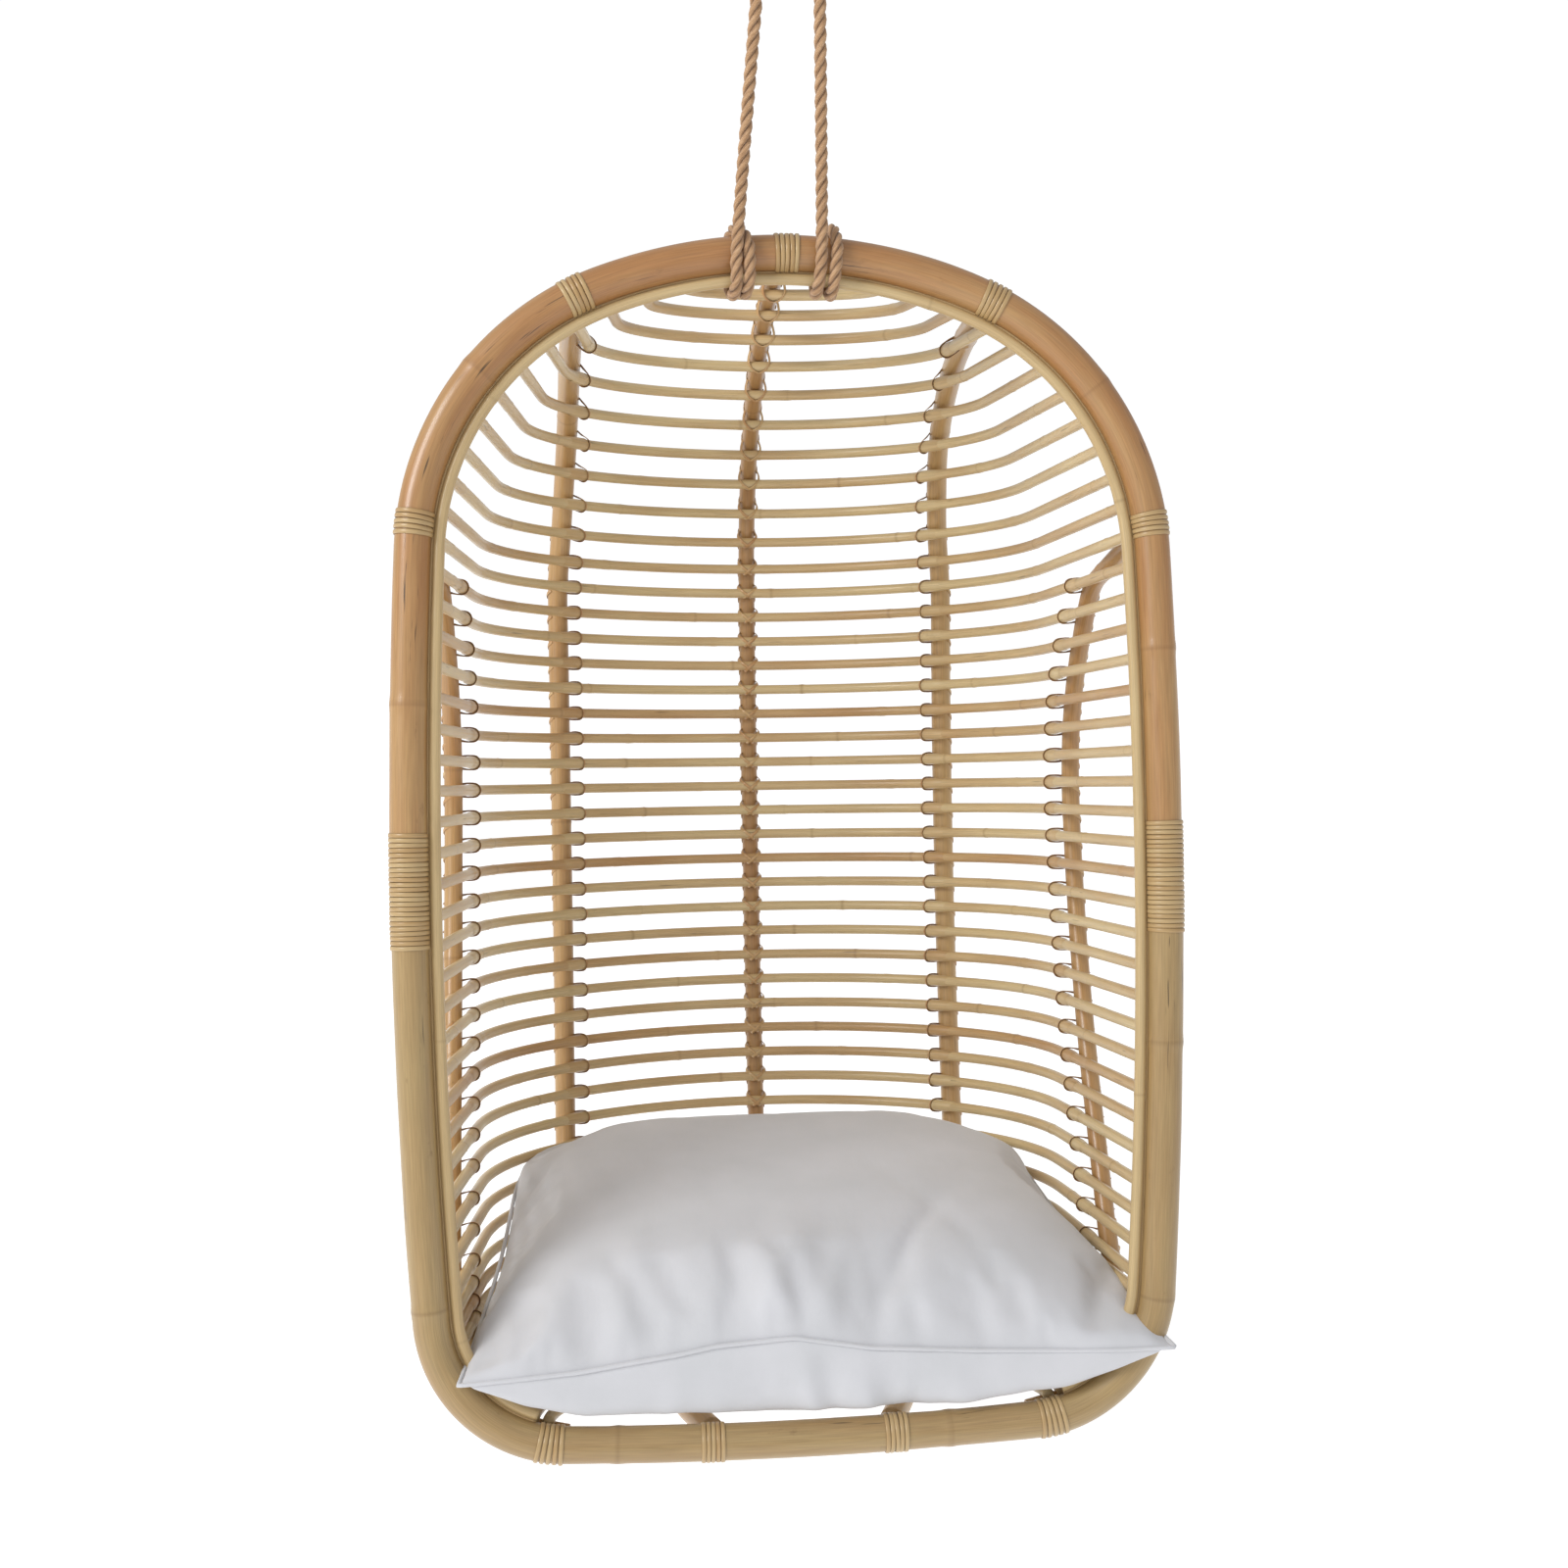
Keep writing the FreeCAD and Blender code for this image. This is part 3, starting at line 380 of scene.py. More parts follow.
def piece(name, verts, faces, place=None, attributes=None):
    """A smooth mesh object; verts are in millimetres, attributes are per point."""
    mesh = bpy.data.meshes.new(name)
    mesh.from_pydata([tuple(v) for v in verts], [], faces)
    mesh.transform(PLACE if place is None else place)
    for key, values in (attributes or {}).items():
        values = np.asarray(values, np.float32)
        kind = "FLOAT" if values.ndim == 1 else "FLOAT_VECTOR"
        made = mesh.attributes.new(key, kind, "POINT")
        made.data.foreach_set("value" if values.ndim == 1 else "vector", values.ravel())
    mesh.polygons.foreach_set("use_smooth", [True] * len(mesh.polygons))
    mesh.update()
    return in_scene(name, mesh)


class Bundle:
    """Several swept bars that end up as one piece."""

    def __init__(self):
        self.verts, self.faces, self.grain, self.tint, self.mark = [], [], [], [], []

    def point(self, co, grain, tint, mark):
        """One point; grain is its place along, across and up the piece, in millimetres; mark is a node
        ring on bars and painted shade on strips and rope.
        """
        self.verts.append(tuple(co))
        self.grain.append(tuple(value * MM for value in grain))
        self.tint.append(tint)
        self.mark.append(mark)

    def bar(self, points, radius, sides=14, step=4.0, tint=0.5, seed=0, start_up=None, knots=()):
        """A round bar; radius is a number, knots are (distance, height, width) swellings."""
        co, run = resampled(points, step)
        _, normal, other = frames_along(co, start_up)
        rng = Random(seed)
        wave = rng.uniform(0, 50)
        grow = np.array([noise.noise(Vector((s * 0.011 + wave, wave, 0))) for s in run])
        radii = radius * (1 + 0.022 * grow)
        mark = np.zeros(len(run))
        for place, height, width in knots:
            swell = np.exp(-(((run - place) / width) ** 2))
            step_down = 1 / (1 + np.exp(-np.clip((run - place) / (width * 0.25), -60, 60)))
            settling = np.exp(-np.maximum(run - place, 0) / 40)
            radii += height * swell - 0.35 * height * step_down * settling
            mark = np.maximum(mark, np.exp(-(((run - place) / (width * 0.55)) ** 2)))
        base = len(self.verts)
        angles = np.arange(sides) * 2 * pi / sides
        for k in range(len(co)):
            ring = radii[k] * (np.outer(np.cos(angles), normal[k]) + np.outer(np.sin(angles), other[k]))
            along = run[k] + seed * 977.0 % 5000
            for place, angle in zip(co[k] + ring, angles):
                self.point(place, (along, radius * cos(angle), radius * sin(angle)), tint, mark[k])
        self.close_tube(base, len(co), sides)

    def close_tube(self, base, rings, sides):
        """The side and end faces of a tube whose rings of points start at base."""
        for k in range(rings - 1):
            for j in range(sides):
                a, b = base + k * sides + j, base + k * sides + (j + 1) % sides
                self.faces.append((a, b, b + sides, a + sides))
        self.close_ends(base, rings, sides)

    def close_ends(self, base, rings, sides):
        self.faces.append(tuple(base + j for j in reversed(range(sides))))
        self.faces.append(tuple(base + (rings - 1) * sides + j for j in range(sides)))

    def strap(self, middles, outs, width, thickness, tint=0.5, closed=True, seed=0):
        """A thin domed strip; middles are points of its underside, outs point off the surface."""
        count = len(middles)
        base = len(self.verts)
        profile = [(-0.5, 0.0), (-0.42, 0.62), (-0.2, 0.93), (0.2, 0.93), (0.42, 0.62), (0.5, 0.0)]
        run = 0.0
        for k in range(count):
            before = middles[(k - 1) % count] if closed or k else middles[k]
            after = middles[(k + 1) % count] if closed or k < count - 1 else middles[k]
            along = (after - before).normalized()
            out = (outs[k] - along * outs[k].dot(along)).normalized()
            across = along.cross(out)
            if k:
                run += (middles[k] - middles[k - 1]).length
            for a, h in profile:
                co = middles[k] + across * (a * width) + out * (h * thickness)
                grain = (run + seed * 131.0 % 3000, a * width, h * thickness)
                # the mark here is the strip's edges, which the peel materials darken as painted shade
                self.point(co, grain, tint, min(1.0, (abs(a) * 2) ** 5))
        n = len(profile)
        last = count if closed else count - 1
        for k in range(last):
            for j in range(n):
                a = base + k * n + j
                b = base + k * n + (j + 1) % n
                c = base + ((k + 1) % count) * n + (j + 1) % n
                d = base + ((k + 1) % count) * n + j
                self.faces.append((a, b, c, d))
        if not closed:
            self.close_ends(base, count, n)

    def build(self, name, material, slot, body="chair", stands_for=(), place=None):
        item = piece(name, self.verts, self.faces, place,
                     {"grain": self.grain, "tint": self.tint, "mark": self.mark})
        item.data.materials.append(material)
        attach(item, body)
        if stands_for:
            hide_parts(*stands_for)
        return item


# ---------------------------------------------------------------- materials


class Nodes:
    """A short way to write a node tree."""

    def __init__(self, name):
        self.material = bpy.data.materials.new(name)
        self.material.use_nodes = True
        self.tree = self.material.node_tree
        self.shader = self.tree.nodes["Principled BSDF"]

    def add(self, kind, inputs=None, **settings):
        node = self.tree.nodes.new(kind)
        for key, value in settings.items():
            setattr(node, key, value)
        for key, value in (inputs or {}).items():
            self.feed(node.inputs[key], value)
        return node

    def feed(self, socket, value):
        if isinstance(value, bpy.types.NodeSocket):
            self.tree.links.new(value, socket)
        else:
            socket.default_value = value

    def finish(self, **inputs):
        """The material, with the shader's own sockets set to these numbers or linked."""
        for key, value in inputs.items():
            self.feed(self.shader.inputs[key.replace("_", " ")], value)
        return self.material

    def attributes(self):
        """The grain, tint and mark that every bundle carries."""
        made = [(key, self.add("ShaderNodeAttribute", attribute_name=key))
                for key in ("grain", "tint", "mark")]
        return [node.outputs["Vector" if key == "grain" else "Fac"] for key, node in made]

    def math(self, operation, a, b):
        node = self.add("ShaderNodeMath", operation=operation)
        self.feed(node.inputs[0], a)
        self.feed(node.inputs[1], b)
        return node.outputs[0]

    def scaled(self, vector, scale):
        node = self.add("ShaderNodeMapping", {"Vector": vector})
        node.inputs["Scale"].default_value = scale
        return node.outputs[0]

    def noise(self, vector, scale, detail=3.0, rough=0.55):
        """Noise; a scale with three numbers differs along the axes."""
        if isinstance(scale, tuple):
            vector, scale = self.scaled(vector, scale), 1.0
        inputs = {"Vector": vector, "Scale": scale, "Detail": detail, "Roughness": rough}
        return self.add("ShaderNodeTexNoise", inputs).outputs["Fac"]

    def swing(self, factor, amount):
        """The factor's distance from one half, scaled."""
        return self.math("MULTIPLY", self.math("SUBTRACT", factor, 0.5), amount)

    def ramp(self, factor, stops):
        node = self.add("ShaderNodeValToRGB", {"Fac": factor})
        ramp = node.color_ramp
        while len(ramp.elements) < len(stops):
            ramp.elements.new(0.5)
        for element, (at, colour) in zip(ramp.elements, stops):
            element.position = at
            element.color = (*colour, 1.0)
        return node.outputs["Color"]

    def level(self, factor, low, high, out_low=0.0, out_high=1.0):
        node = self.add("ShaderNodeMapRange")
        for key, value in zip(("Value", "From Min", "From Max", "To Min", "To Max"),
                              (factor, low, high, out_low, out_high)):
            self.feed(node.inputs[key], value)
        return node.outputs[0]

    def mix(self, factor, a, b, blend="MIX"):
        node = self.add("ShaderNodeMix", data_type="RGBA", blend_type=blend)
        self.feed(node.inputs["Factor"], factor)
        self.feed(node.inputs[6], a if isinstance(a, bpy.types.NodeSocket) else (*a, 1.0))
        self.feed(node.inputs[7], b if isinstance(b, bpy.types.NodeSocket) else (*b, 1.0))
        return node.outputs[2]

    def shaded(self, colour, factor, *levels):
        """The colour made lighter and darker by a factor."""
        shade = self.level(factor, *levels)
        channels = {"Red": shade, "Green": shade, "Blue": shade}
        grey = self.add("ShaderNodeCombineColor", channels).outputs[0]
        return self.mix(1.0, colour, grey, "MULTIPLY")

    def bump(self, height, strength, distance, normal=None):
        inputs = {"Height": height, "Strength": strength, "Distance": distance}
        if normal is not None:
            inputs["Normal"] = normal
        return self.add("ShaderNodeBump", inputs).outputs["Normal"]


def rattan(name, pale, warm, dark, stains, fine=1.0):
    """Lacquered cane: lengthwise grain, warm patches, node rings, dark streaks and pores."""
    n = Nodes(name)
    grain, tint, mark = n.attributes()
    broad = n.noise(grain, (7, 55, 55), 3.0)
    fibre = n.noise(grain, (22, 900 * fine, 900 * fine), 4.0, 0.6)
    patch = n.noise(grain, (3.1, 14, 14), 2.0)
    warmth = n.math("ADD", n.swing(broad, 0.9), tint)
    warmth = n.math("ADD", warmth, n.swing(patch, 0.8))
    between = tuple(0.5 * (p + w) for p, w in zip(pale, warm))
    colour = n.ramp(warmth, [(0.12, pale), (0.52, between), (0.92, warm)])
    colour = n.shaded(colour, fibre, 0.3, 0.72, 0.80, 1.1)
    # node rings
    ring = n.level(mark, 0.35, 0.95, 0.0, 0.42)
    colour = n.mix(ring, colour, tuple(0.62 * c for c in warm))
    # dark streaks and small scars along the grain
    streak = n.noise(grain, (16, 330, 330), 2.0, 0.5)
    where = n.noise(grain, (6.3, 21, 21), 1.0)
    streak = n.math("MULTIPLY", n.level(streak, 0.665, 0.72), n.level(where, 0.50, 0.60))
    colour = n.mix(n.math("MULTIPLY", streak, stains), colour, dark)
    cloud = n.level(n.noise(grain, (26, 60, 60), 4.0, 0.7), 0.64, 0.74, 0.0, 0.5 * stains)
    colour = n.mix(cloud, colour, tuple(0.5 * c for c in warm))
    height = n.math("ADD", n.math("MULTIPLY", fibre, 0.6), n.math("MULTIPLY", broad, 0.5))
    return n.finish(Base_Color=colour, Roughness=n.level(fibre, 0.3, 0.7, 0.30, 0.46),
                    Coat_Weight=0.25, Coat_Roughness=0.16, Normal=n.bump(height, 0.28, 0.0006))


def peel(name, pale, warm, edge_shade):
    """Split cane peel: glossy, finely ribbed lengthwise, with painted shade at its edges where it meets
    the cane under it.
    """
    n = Nodes(name)
    grain, tint, mark = n.attributes()
    broad = n.noise(grain, (30, 300, 300), 2.0)
    fibre = n.noise(grain, (40, 2600, 900), 3.0)
    warmth = n.math("ADD", n.swing(broad, 1.0), tint)
    colour = n.ramp(warmth, [(0.15, pale), (0.9, warm)])
    colour = n.shaded(colour, fibre, 0.3, 0.7, 0.86, 1.08)
    # painted shade along the strip's edges, where it meets the cane under it
    colour = n.mix(n.level(mark, 0.5, 1.0, 0.0, 0.65), colour, edge_shade)
    return n.finish(Base_Color=colour, Roughness=0.38, Coat_Weight=0.2, Coat_Roughness=0.2,
                    Normal=n.bump(fibre, 0.3, 0.0004))


def jute():
    """Twisted jute: fine fibres along each strand, with painted shade in the grooves between strands.
    """
    n = Nodes("jute")
    grain, _, mark = n.attributes()
    fibre = n.noise(grain, (120, 2300, 2300), 5.0, 0.7)
    tuft = n.noise(grain, (150, 500, 500), 3.0)
    base = n.math("ADD", n.math("MULTIPLY", fibre, 0.65), n.math("MULTIPLY", tuft, 0.35))
    brown, tan_brown, straw = (0.235, 0.118, 0.05), (0.47, 0.275, 0.14), (0.70, 0.49, 0.30)
    colour = n.ramp(base, [(0.3, brown), (0.5, tan_brown), (0.7, straw)])
    # painted shade: darker in the grooves where the strands meet
    colour = n.mix(n.level(mark, 0.0, 1.0, 0.0, 0.72), colour, (0.12, 0.052, 0.02))
    return n.finish(Base_Color=colour, Roughness=0.88, Sheen_Weight=0.25,
                    Normal=n.bump(fibre, 0.9, 0.0007))


def cotton():
    """White cotton: plain weave at thread scale with soft unevenness."""
    n = Nodes("cotton")
    place = n.add("ShaderNodeTexCoord").outputs["Object"]
    weave_a = n.noise(place, (2600, 260, 260), 2.0)
    weave_b = n.noise(place, (260, 2600, 2600), 2.0)
    weave = n.math("ADD", weave_a, weave_b)
    soft = n.noise(place, 14.0, 3.0)
    colour = n.ramp(soft, [(0.3, (0.575, 0.58, 0.60)), (0.7, (0.62, 0.62, 0.645))])
    crease = n.noise(place, (40, 16, 40), 3.0)
    normal = n.bump(weave, 0.12, 0.0003)
    return n.finish(Base_Color=colour, Roughness=0.86, Sheen_Weight=0.3, Sheen_Roughness=0.5,
                    Normal=n.bump(crease, 0.16, 0.004, normal))


def metal(name, colour, roughness, metallic=1.0):
    """Metal or paint with fine scratches and faint spots."""
    n = Nodes(name)
    place = n.add("ShaderNodeTexCoord").outputs["Object"]
    scratch = n.noise(place, (90, 90, 900), 4.0)
    spots = n.noise(place, 260.0, 3.0)
    uneven = n.level(scratch, 0.3, 0.7, roughness - 0.06, roughness + 0.1)
    return n.finish(Base_Color=n.shaded(colour, spots, 0.3, 0.7, 0.86, 1.08), Metallic=metallic,
                    Roughness=uneven, Normal=n.bump(scratch, 0.08, 0.0004))


# each cane's pale, warm and stain colours, how much it is stained and how fine its grain is
HONEY = rattan("rattan_honey", (0.49, 0.325, 0.140), (0.38, 0.180, 0.062), (0.022, 0.014, 0.008), 0.8)
STRAW = rattan("rattan_straw", (0.41, 0.290, 0.130), (0.34, 0.200, 0.080), (0.018, 0.013, 0.008), 1.0)
RIB = rattan("rattan_rib", (0.55, 0.36, 0.155), (0.42, 0.225, 0.085), (0.03, 0.016, 0.008), 0.3)
THIN = rattan("rattan_rung", (0.66, 0.51, 0.27), (0.50, 0.29, 0.12), (0.05, 0.026, 0.012), 0.45, 1.7)
TRIM_CANE = rattan("rattan_trim", (0.57, 0.425, 0.215), (0.48, 0.32, 0.143), (0.06, 0.03, 0.015),
                   0.25, 1.6)
# the third colour of each peel is painted shade for the strip's edges
PEEL = peel("cane_peel", (0.49, 0.345, 0.165), (0.42, 0.26, 0.105), (0.22, 0.115, 0.045))
LASHING = peel("cane_lashing", (0.58, 0.40, 0.19), (0.47, 0.25, 0.10), (0.14, 0.055, 0.018))
JUTE = jute()
COTTON = cotton()
ZINC = metal("zinc", (0.62, 0.62, 0.60), 0.34)
BLACK = metal("black_paint", (0.03, 0.03, 0.032), 0.45, 0.0)
NAIL = metal("nail_steel", (0.12, 0.10, 0.09), 0.5)

# ---------------------------------------------------------------- rope, the cord of this chair


def spline_points(points):
    """Points of the smooth curve that has these points as its control points."""
    data = bpy.data.curves.new("route", "CURVE")
    data.dimensions = "3D"
    data.resolution_u = 14
    spline = data.splines.new("NURBS")
    spline.points.add(len(points) - 1)
    for control, point in zip(spline.points, points):
        control.co = (*point, 1.0)
    spline.order_u = 3
    spline.use_endpoint_u = True
    item = in_scene("route", data)
    bpy.context.view_layer.update()
    mesh = bpy.data.meshes.new_from_object(item.evaluated_get(bpy.context.evaluated_depsgraph_get()))
    made = [v.co.copy() for v in mesh.vertices]
    bpy.data.objects.remove(item)
    bpy.data.curves.remove(data)
    bpy.data.meshes.remove(mesh)
    return made


HITCH_TURN = (POLE + ROPE + 0.5) / cos(radians(15))
HITCH_DROP = 13.0


def round_hoop(distance, angle):
    """A point of the rope round the hoop and the trim: angle 0 in front, 90 on top."""
    along = along_hoop(distance)
    out = Vector((-along.z, 0, along.x))
    level = sin(radians(angle))
    drop = HITCH_DROP * min(1.0, max(0.0, -2.0 * level))
    point = on_hoop(distance) - BACK * (HITCH_TURN * cos(radians(angle)))
    return HOOP_FRAME @ (point + out * (HITCH_TURN * level - drop))


def hitch(stations):
    """Two turns round the hoop: stations are the places along it at each quarter turn."""
    made = []
    for step in range(1, 19):
        quarter, part = divmod(step / 3, 1)
        quarter = min(int(quarter), len(stations) - 2)
        part = step / 3 - quarter
        distance = stations[quarter] * (1 - part) + stations[quarter + 1] * part
        made.append(round_hoop(distance, -30.0 * step))
    return made


def thimble_point(angle, radius):
    return Vector((radius * cos(radians(angle)), 0, THIMBLE_HEIGHT + radius * sin(radians(angle))))


def leaving_angle(foot):
    away = hypot(foot, ROPE_RISE)
    return degrees(acos(ROPE_TURN / away) - atan2(ROPE_RISE, abs(foot)))


LEG_LEFT, LEG_RIGHT = -49.5, 32.0
foot_left = Vector((LEG_LEFT, 0, CROWN_PLACE.z))
foot_right = Vector((LEG_RIGHT, 0, CROWN_PLACE.z))
first_angle, last_angle = 180 - leaving_angle(LEG_LEFT), leaving_angle(LEG_RIGHT)
CORNERS = 4
bend = (first_angle - last_angle) / CORNERS
corner_reach = ROPE_TURN / cos(radians(bend / 2))
corners = [thimble_point(first_angle - bend * (k + 0.5), corner_reach) for k in range(CORNERS)]
apart = (corners[1] - corners[0]).length
NEAR_THIMBLE = 72.0


def leg(foot, corner):
    down = (foot - corner).normalized()
    return [corner + down * apart, corner + down * NEAR_THIMBLE]


left_turns = hitch([-49.5, -54.5, -57.5, -47.0, -36.5, -42.5, -44.0])
right_turns = hitch([32.0, 30.5, 31.0, 40.0, 46.5, 45.5, 45.0])
route = left_turns[::-1] + [foot_left] + leg(foot_left, corners[0])[::-1] + corners
route += leg(foot_right, corners[-1]) + [foot_right] + right_turns
rope_line = spline_points([point * MM for point in route])


def rope_strands(line, strands=3, lay=38.0, radius=3.05, off_centre=2.98, step=1.7, sides=9):
    """Strands laid right-handed round a line of points in metres."""
    co, run = resampled([p / MM for p in line], step)
    _, normal, other = frames_along(co, (1, 0, 0))
    bundle = Bundle()
    for strand in range(strands):
        turned = 2 * pi * (run / lay + strand / strands)
        outs = normal * np.cos(turned)[:, None] + other * np.sin(turned)[:, None]
        middle = co + off_centre * outs
        tangent = frames_along(middle, (1, 0, 0))[0]
        base = len(bundle.verts)
        angles = np.arange(sides) * 2 * pi / sides
        across = np.cross(tangent, outs)
        for k in range(len(middle)):
            for angle in angles:
                direction = outs[k] * cos(angle) + across[k] * sin(angle)
                grain = (run[k] + 400 * strand, radius * cos(angle), radius * sin(angle))
                # painted shade: strongest on each strand's inner side and where it meets the next
                # strand
                groove_shade = max(0.0, -cos(angle) * 0.9 + abs(sin(angle)) ** 4 * 0.75)
                bundle.point(middle[k] + radius * direction, grain, 0.5, groove_shade)
        bundle.close_tube(base, len(middle), sides)
    return bundle


rope = rope_strands(rope_line).build(
    "rope_strands", JUTE, "jute_rope", stands_for=("rope", "rope_hitch_left", "rope_hitch_right"),
    place=Matrix.Scale(MM, 4))

# ---------------------------------------------------------------- hoop, trim and ribs


def knots_for(length, seed, spacing, height, width):
    """Node rings of a cane: irregularly spaced swellings."""
    rng = Random(seed)
    made, at = [], rng.uniform(0.3, 0.8) * spacing
    while at < length:
        made.append((at, height * rng.uniform(0.7, 1.25), width * rng.uniform(0.8, 1.2)))
        at += spacing * rng.uniform(0.75, 1.25)
    return made


upper_route = [on_hoop(d) for d in np.linspace(-SCARF, SCARF, 330)]
lower_right = [on_hoop(d) for d in np.linspace(SCARF, HOOP.length, 180)]
lower_route = lower_right + mirrored(lower_right)[::-1][1:]
hoop_upper, hoop_lower = Bundle(), Bundle()
hoop_upper.bar(upper_route, POLE, 40, 4.0, 0.5, 3, (0, 1, 0), knots_for(2 * SCARF, 11, 330, 0.7, 5))
hoop_lower.bar(lower_route, POLE, 40, 4.0, 0.5, 5, (0, 1, 0), knots_for(1700, 12, 300, 0.7, 5))


def toned(bundle, tone):
    """Sets the warmth of each point of a bundle from its place."""
    for k, v in enumerate(bundle.verts):
        bundle.tint[k] = tone(v)


toned(hoop_upper, lambda v: 0.72 + 0.0006 * (v[2] - 300) if v[2] > -100 else 0.42)
toned(hoop_lower, lambda v: 0.40)
hoop_upper.build("hoop_upper_pole", HONEY, "rattan_honey", stands_for=["hoop_upper"])
hoop_lower.build("hoop_lower_pole", STRAW, "rattan_straw", stands_for=["hoop_lower"])

TRIM_CORNER_TURN = 68.0
BEAD = 1.5


def inside_hoop(inset, back):
    """Points along the hoop's inner side, from one bottom corner over the crown to the other."""
    chain = hoop_chain(inset, False, TRIM_CORNER_TURN)
    places = [chain.at(d)[:2] for d in np.linspace(0, chain.length, 220)]
    right = [Vector((across, back, height)) for across, height in places]
    return mirrored(right)[::-1][:-1] + right


trim_bar = Bundle()
trim_path = inside_hoop(POLE + PEEL_THICKNESS + 0.3 + TRIM, 2.0)
trim_bar.bar(trim_path, TRIM, 16, 4.0, 0.35, 8, (0, 1, 0), knots_for(2600, 13, 240, 0.35, 3))
# a bead that closes the slit between the trim and the hoop; its darker warm tone is painted shade in
# the slit
trim_bar.bar(inside_hoop(POLE + 0.5 * BEAD, 1.5), BEAD, 8, 4.0, 0.9, 9, (0, 1, 0))
trim_bar.build("trim_cane", TRIM_CANE, "rattan_trim", stands_for=["trim_pole"])

centre_path = [Vector((0, *CENTRE_RIB.at(d)[:2])) for d in np.linspace(0, CENTRE_RIB_END, 260)]
ribs = {"rib_centre": (centre_path, CENTRE_RIB_RADIUS, 0.8)}
for side, word in ((-1, "left"), (1, "right")):
    for kind, points, radius, tone in (("inner", inner_points, INNER_RIB_RADIUS, 0.55),
                                       ("outer", outer_points, OUTER_RIB_RADIUS, 0.7)):
        path = rounded(points if side > 0 else mirrored(points))
        if (kind, word) == ("inner", "right"):
            tone -= 0.25
        ribs[f"rib_{kind}_{word}"] = (path, radius, tone)
for number, (name, (path, radius, tone)) in enumerate(ribs.items()):
    bar = Bundle()
    knots = knots_for(1700, 30 + number, 260, 0.5, 4)
    bar.bar(path, radius, 24, 4.0, tone, 20 + number, (1, 0, 0), knots)
    bar.build(f"{name}_cane", RIB, "rattan_rib", stands_for=[name])


def rib_inward(heading):
    return Vector((0, sin(radians(heading)), -cos(radians(heading))))


back, height, heading = CENTRE_RIB.at(BRACE_AT)
brace_drop = INNER_RIB_RADIUS + BRACE_RADIUS + BRACE_SLACK
brace_middle = Vector((0, back, height)) - rib_inward(heading) * brace_drop
brace_bar = Bundle()
brace_points = [brace_middle + RIGHT * (BRACE_HALF * k / 10) for k in range(-10, 11)]
brace_bar.bar(brace_points, BRACE_RADIUS, 20, 4.0, 0.6, 41, (0, 1, 0), knots_for(470, 42, 190, 0.4, 4))
brace_bar.build("seat_brace_cane", RIB, "rattan_rib", stands_for=["seat_brace"])

# ---------------------------------------------------------------- rungs
RUNGS_PER_NODE = 3
tones = Random(71)
all_numbers = list(RUNG_NUMBERS)
RUNG_TONES = {number: tones.choice([0.2, 0.3, 0.3, 0.4, 0.5, 0.75]) for number in all_numbers}
for start in range(0, len(all_numbers), RUNGS_PER_NODE):
    bundle = Bundle()
    for number in all_numbers[start : start + RUNGS_PER_NODE]:
        bundle.bar(RUNGS[number].route(), RUNG, 14, 5.0, RUNG_TONES[number], 100 + number, (0, 0, 1),
                   knots_for(1700, 200 + number, 230, 0.42, 3.5))
    name = f"rungs_{start // RUNGS_PER_NODE + 1:02d}"
    bundle.build(f"{name}_canes", THIN, "rattan_rung", stands_for=[name])

# ---------------------------------------------------------------- bindings round the hoop


def winding(distance, side, turns, seed):
    """Peel wound round the hoop, made as one closed ring for each turn."""
    bundle = Bundle()
    rng = Random(seed)
    before, after = HOOP.at(abs(distance) + 1)[2], HOOP.at(abs(distance) + 2)[2]
    reach = POLE + PEEL_THICKNESS + 0.3
    pitch = (PEEL_WIDTH + 0.2) / (1 - reach * radians(before - after))
    first = distance - pitch * (turns - 1) / 2
    for turn in range(turns):
        lean_over = rng.uniform(-0.45, 0.45)
        tone = rng.uniform(0.1, 0.8)
        lift = rng.uniform(0.12, 0.35)
        middles, outs = [], []
        for step in range(40):
            angle = 2 * pi * step / 40
            place = first + pitch * turn + lean_over * cos(angle)
            along = along_hoop(place, side)
            out = along.cross(BACK)
            radial = (out * cos(angle) + BACK * sin(angle)).normalized()
            middles.append(on_hoop(place, side) + radial * (POLE + lift))
            outs.append(radial)
        strip_seed = seed * 40 + turn
        bundle.strap(middles, outs, PEEL_WIDTH + 0.15, PEEL_THICKNESS + 0.1, tone, True, strip_seed)
    return bundle


winding(0.0, 1, 5, 1).build("binding_crown_peel", PEEL, "cane_peel", stands_for=["binding_crown"])
for side, word in ((-1, "left"), (1, "right")):
    for kind, place, turns in (
        ("binding_shoulder", SHOULDER_TIE, 5),
        ("binding_side", SIDE_TIE, 5),
        ("scarf_wrap", SCARF, 24),
        ("binding_rail_outer", RAIL_TIES[0], 5),
        ("binding_rail_inner", RAIL_TIES[1], 5),
    ):
        name = f"{kind}_{word}"
        winding(place, side, turns, len(name) * 3 + turns + side).build(
            f"{name}_peel", PEEL, "cane_peel", stands_for=[name])

# ---------------------------------------------------------------- lashings of the rungs to the ribs


def smooth_through(points, closed, parts=3):
    """Points of a smooth line through the given points."""
    count = len(points)
    made = []
    for k in range(count if closed else count - 1):
        if closed:
            p0, p1, p2, p3 = (points[(k + d) % count] for d in (-1, 0, 1, 2))
        else:
            p0, p1, p2, p3 = (points[min(max(k + d, 0), count - 1)] for d in (-1, 0, 1, 2))
        for part in range(parts):
            t = part / parts
            made.append(0.5 * (2 * p1 + (p2 - p0) * t + (2 * p0 - 5 * p1 + 4 * p2 - p3) * t**2
                               + (3 * p1 - p0 - 3 * p2 + p3) * t**3))
    if not closed:
        made.append(points[-1])
    return made


